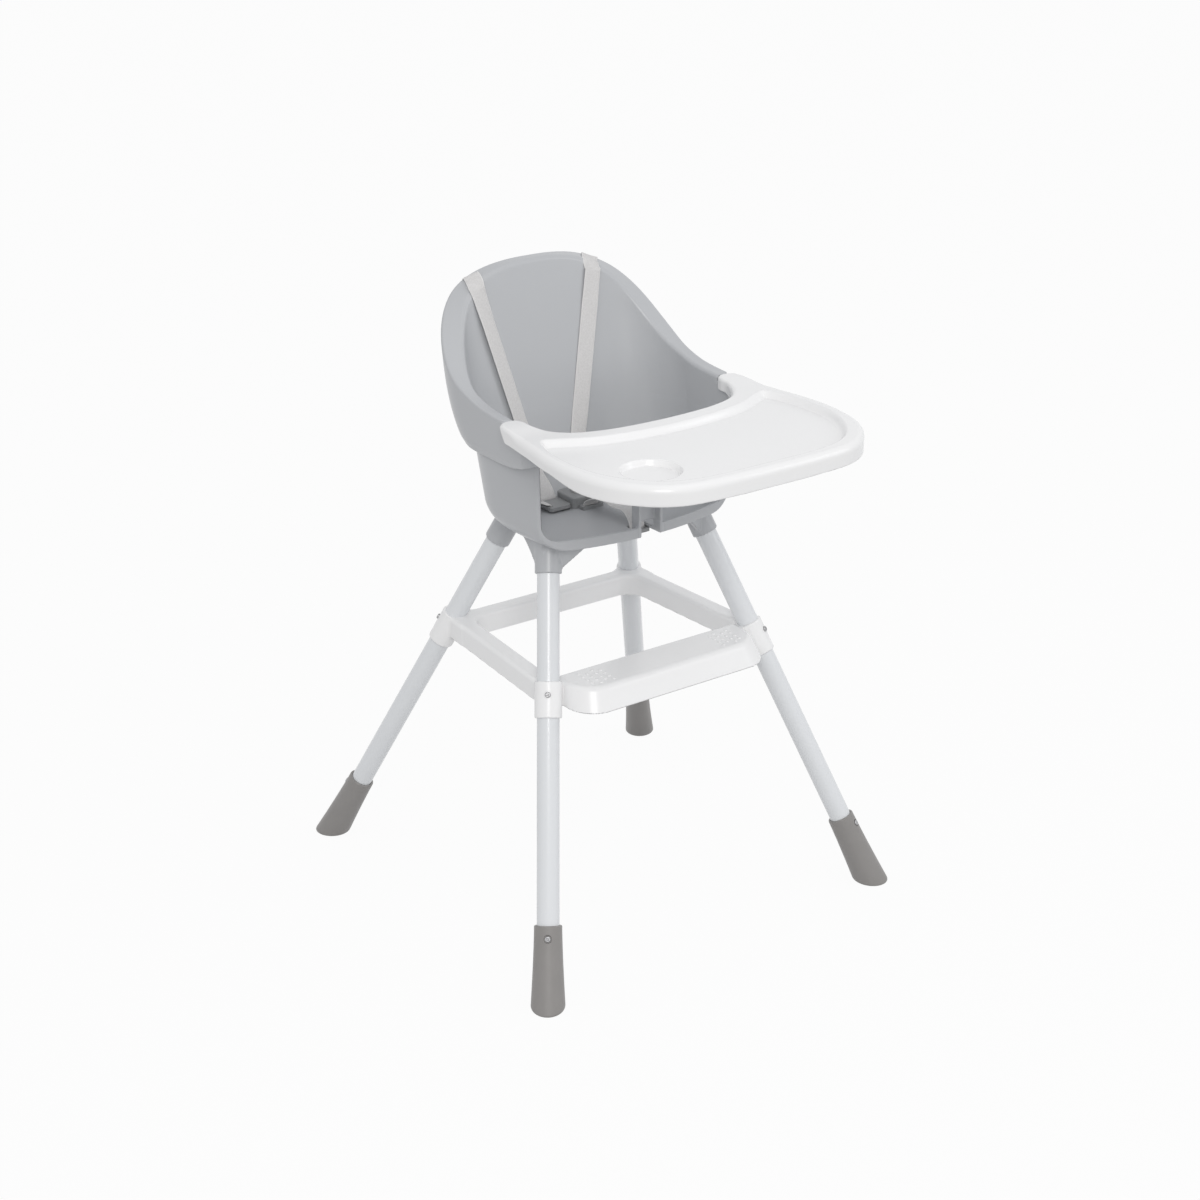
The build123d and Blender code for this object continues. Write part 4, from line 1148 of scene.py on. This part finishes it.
screw = screwTemplate()
footSpots = [(leg.at(footPlan["screwZ"]) + leg.out * screwPlan["footSeat"], leg.out) for leg in legs]
ringSpots = [(leg.at(ringPlan["screwZ"]) + leg.out * ringPlan["collarR"], leg.out) for leg in legs]
shellX, shellY, shellZ = screwPlan["shellPlace"]
shellSpots = [((side * shellX, shellY, shellZ), (0, 0, -1)) for side in (-1, 1)]
for name, spots, node in (
    ("footScrews", footSpots, "foot_screws"),
    ("ringScrews", ringSpots, "ring_screws"),
    ("shellScrews", shellSpots, "shell_screws"),
):
    placePiece(scatter(name, spots, screw, 1.0, screwSteel), "chair", "screw_steel", node)


# Anti-slip dots on the step, in rows near its two ends

dotPlan = {
    "radius": 2.6, "height": 1.1, "pitch": 10.5, "columns": 4, "rows": 4, "startX": 92.0, "startY": -174.0,
    "segments": 10, "rings": 6,
}


def dotTemplate():
    p = dotPlan
    mesh = bpy.data.meshes.new("dotTemplate")
    shape = bmesh.new()
    bmesh.ops.create_uvsphere(shape, u_segments=p["segments"], v_segments=p["rings"], radius=1.0)
    size = (p["radius"], p["radius"], p["height"])
    bmesh.ops.scale(shape, vec=[s * metre for s in size], verts=shape.verts)
    shape.to_mesh(mesh)
    shape.free()
    mesh.shade_smooth()
    return addObject("dotTemplate", mesh)


dot = dotTemplate()
dotSpots = []
for side in (-1, 1):
    for column in range(dotPlan["columns"]):
        for row in range(dotPlan["rows"]):
            x = side * (dotPlan["startX"] + dotPlan["pitch"] * column)
            y = dotPlan["startY"] + dotPlan["pitch"] * (row + 0.5 * (column % 2))
            dotSpots.append(((x, y, ringPlan["topZ"]), (0, 0, 1)))
placePiece(scatter("stepDots", dotSpots, dot, 1.0, ringPlastic), "chair", "white_plastic")
for template in (screw, dot):
    bpy.data.objects.remove(template)


# CAD pieces that stay as they are get their finish

carried = {
    "crotch_stop": bucklePlastic, "buckle_housing": bucklePlastic, "buckle_cover": bucklePlastic,
    "buckle_button": buttonPlastic, "buckle_tongue_right": bucklePlastic, "buckle_tongue_left": bucklePlastic,
}
for node, finish in carried.items():
    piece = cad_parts[node]
    piece.data.materials.clear()
    piece.data.materials.append(finish)
print("carried pieces finished")


# Floor, world, lights and camera

stagePlan = {
    "floor": 30.0, "floorTone": 0.62, "floorShare": 0.95, "worldTone": (0.98, 0.985, 1.0), "world": 0.68,
    "aim": (0, 0, 0.5),
}


def showBackground(tree, plain, shown, share, out):
    # Camera, glossy and transmission rays see the shown shader, and all others meet the plain one
    ray = tree.nodes.new("ShaderNodeLightPath")
    seen = Wire(tree, ray.outputs["Is Camera Ray"])
    for name in ("Is Glossy Ray", "Is Transmission Ray"):
        seen = seen.join(seen, Wire(tree, ray.outputs[name]), "MAXIMUM")
    mix = tree.nodes.new("ShaderNodeMixShader")
    tree.links.new((seen * share).socket, mix.inputs[0])
    tree.links.new(plain.outputs[0], mix.inputs[1])
    tree.links.new(shown.outputs[0], mix.inputs[2])
    tree.links.new(mix.outputs[0], out.inputs["Surface"])


def buildFloor():
    half, tone = stagePlan["floor"], stagePlan["floorTone"]
    mesh = bpy.data.meshes.new("floor")
    corners = [(-half, -half, 0), (half, -half, 0), (half, half, 0), (-half, half, 0)]
    mesh.from_pydata(corners, [], [(0, 1, 2, 3)])
    finish = bpy.data.materials.new("paleFloor")
    finish.use_nodes = True
    tree = finish.node_tree
    tree.nodes.clear()
    matt = tree.nodes.new("ShaderNodeBsdfDiffuse")
    matt.inputs["Color"].default_value = (tone, tone, tone, 1)
    glow = tree.nodes.new("ShaderNodeEmission")
    out = tree.nodes.new("ShaderNodeOutputMaterial")
    showBackground(tree, matt, glow, stagePlan["floorShare"], out)
    mesh.materials.append(finish)
    addObject("floor", mesh)


def buildWorld():
    world = bpy.data.worlds.new("studio")
    bpy.context.scene.world = world
    world.use_nodes = True
    tree = world.node_tree
    tree.nodes.clear()
    soft = tree.nodes.new("ShaderNodeBackground")
    soft.inputs["Color"].default_value = (*stagePlan["worldTone"], 1)
    soft.inputs["Strength"].default_value = stagePlan["world"]
    white = tree.nodes.new("ShaderNodeBackground")
    white.inputs["Color"].default_value = (1, 1, 1, 1)
    out = tree.nodes.new("ShaderNodeOutputWorld")
    showBackground(tree, soft, white, 1.0, out)


lamps = [
    {"name": "keyPanel", "at": (-1.4, -2.3, 2.2), "size": 1.1, "watts": 26.0, "tone": (1.0, 0.985, 0.96)},
    {"name": "topPanel", "at": (0.2, -1.0, 3.0), "size": 1.8, "watts": 4.0, "tone": (1.0, 1.0, 1.0)},
    {"name": "sidePanel", "at": (2.0, -1.8, 1.8), "size": 1.3, "watts": 9.0, "tone": (0.97, 0.985, 1.0)},
]


def buildLamps():
    aim = Vector(stagePlan["aim"])
    for plan in lamps:
        light = bpy.data.lights.new(plan["name"], "AREA")
        light.energy = plan["watts"]
        light.size = plan["size"]
        light.color = plan["tone"]
        lamp = addObject(plan["name"], light)
        lamp.location = plan["at"]
        lamp.rotation_euler = (aim - lamp.location).to_track_quat("-Z", "Y").to_euler()


cameraPlan = {
    "azimuth": -34.8, "elevation": 23.3, "roll": -0.3, "distance": 2537.6, "target": (-191.7, -286.3, 556.0),
    "focal": 2075.9, "frame": 1200.0, "sensor": 36.0,
}


def buildCamera():
    p = cameraPlan
    a, e, t = (math.radians(p[key]) for key in ("azimuth", "elevation", "roll"))
    back = np.array([math.sin(a) * math.cos(e), -math.cos(a) * math.cos(e), math.sin(e)])
    right = np.array([math.cos(a), math.sin(a), 0.0])
    up = np.cross(back, right)
    turnedRight = right * math.cos(t) + up * math.sin(t)
    turnedUp = up * math.cos(t) - right * math.sin(t)
    lens = bpy.data.cameras.new("camera")
    lens.sensor_width = p["sensor"]
    lens.lens = p["focal"] / p["frame"] * p["sensor"]
    matrix = np.eye(4)
    place = inFrame(np.array(p["target"]) + back * p["distance"])
    matrix[:3] = np.stack([turnedRight, turnedUp, back, place], 1)
    camera = addObject("camera", lens)
    camera.matrix_world = Matrix(matrix.tolist())
    bpy.context.scene.camera = camera


buildFloor()
buildWorld()
buildLamps()
buildCamera()
bpy.context.scene.view_settings.view_transform = "Standard"
print("stage set")
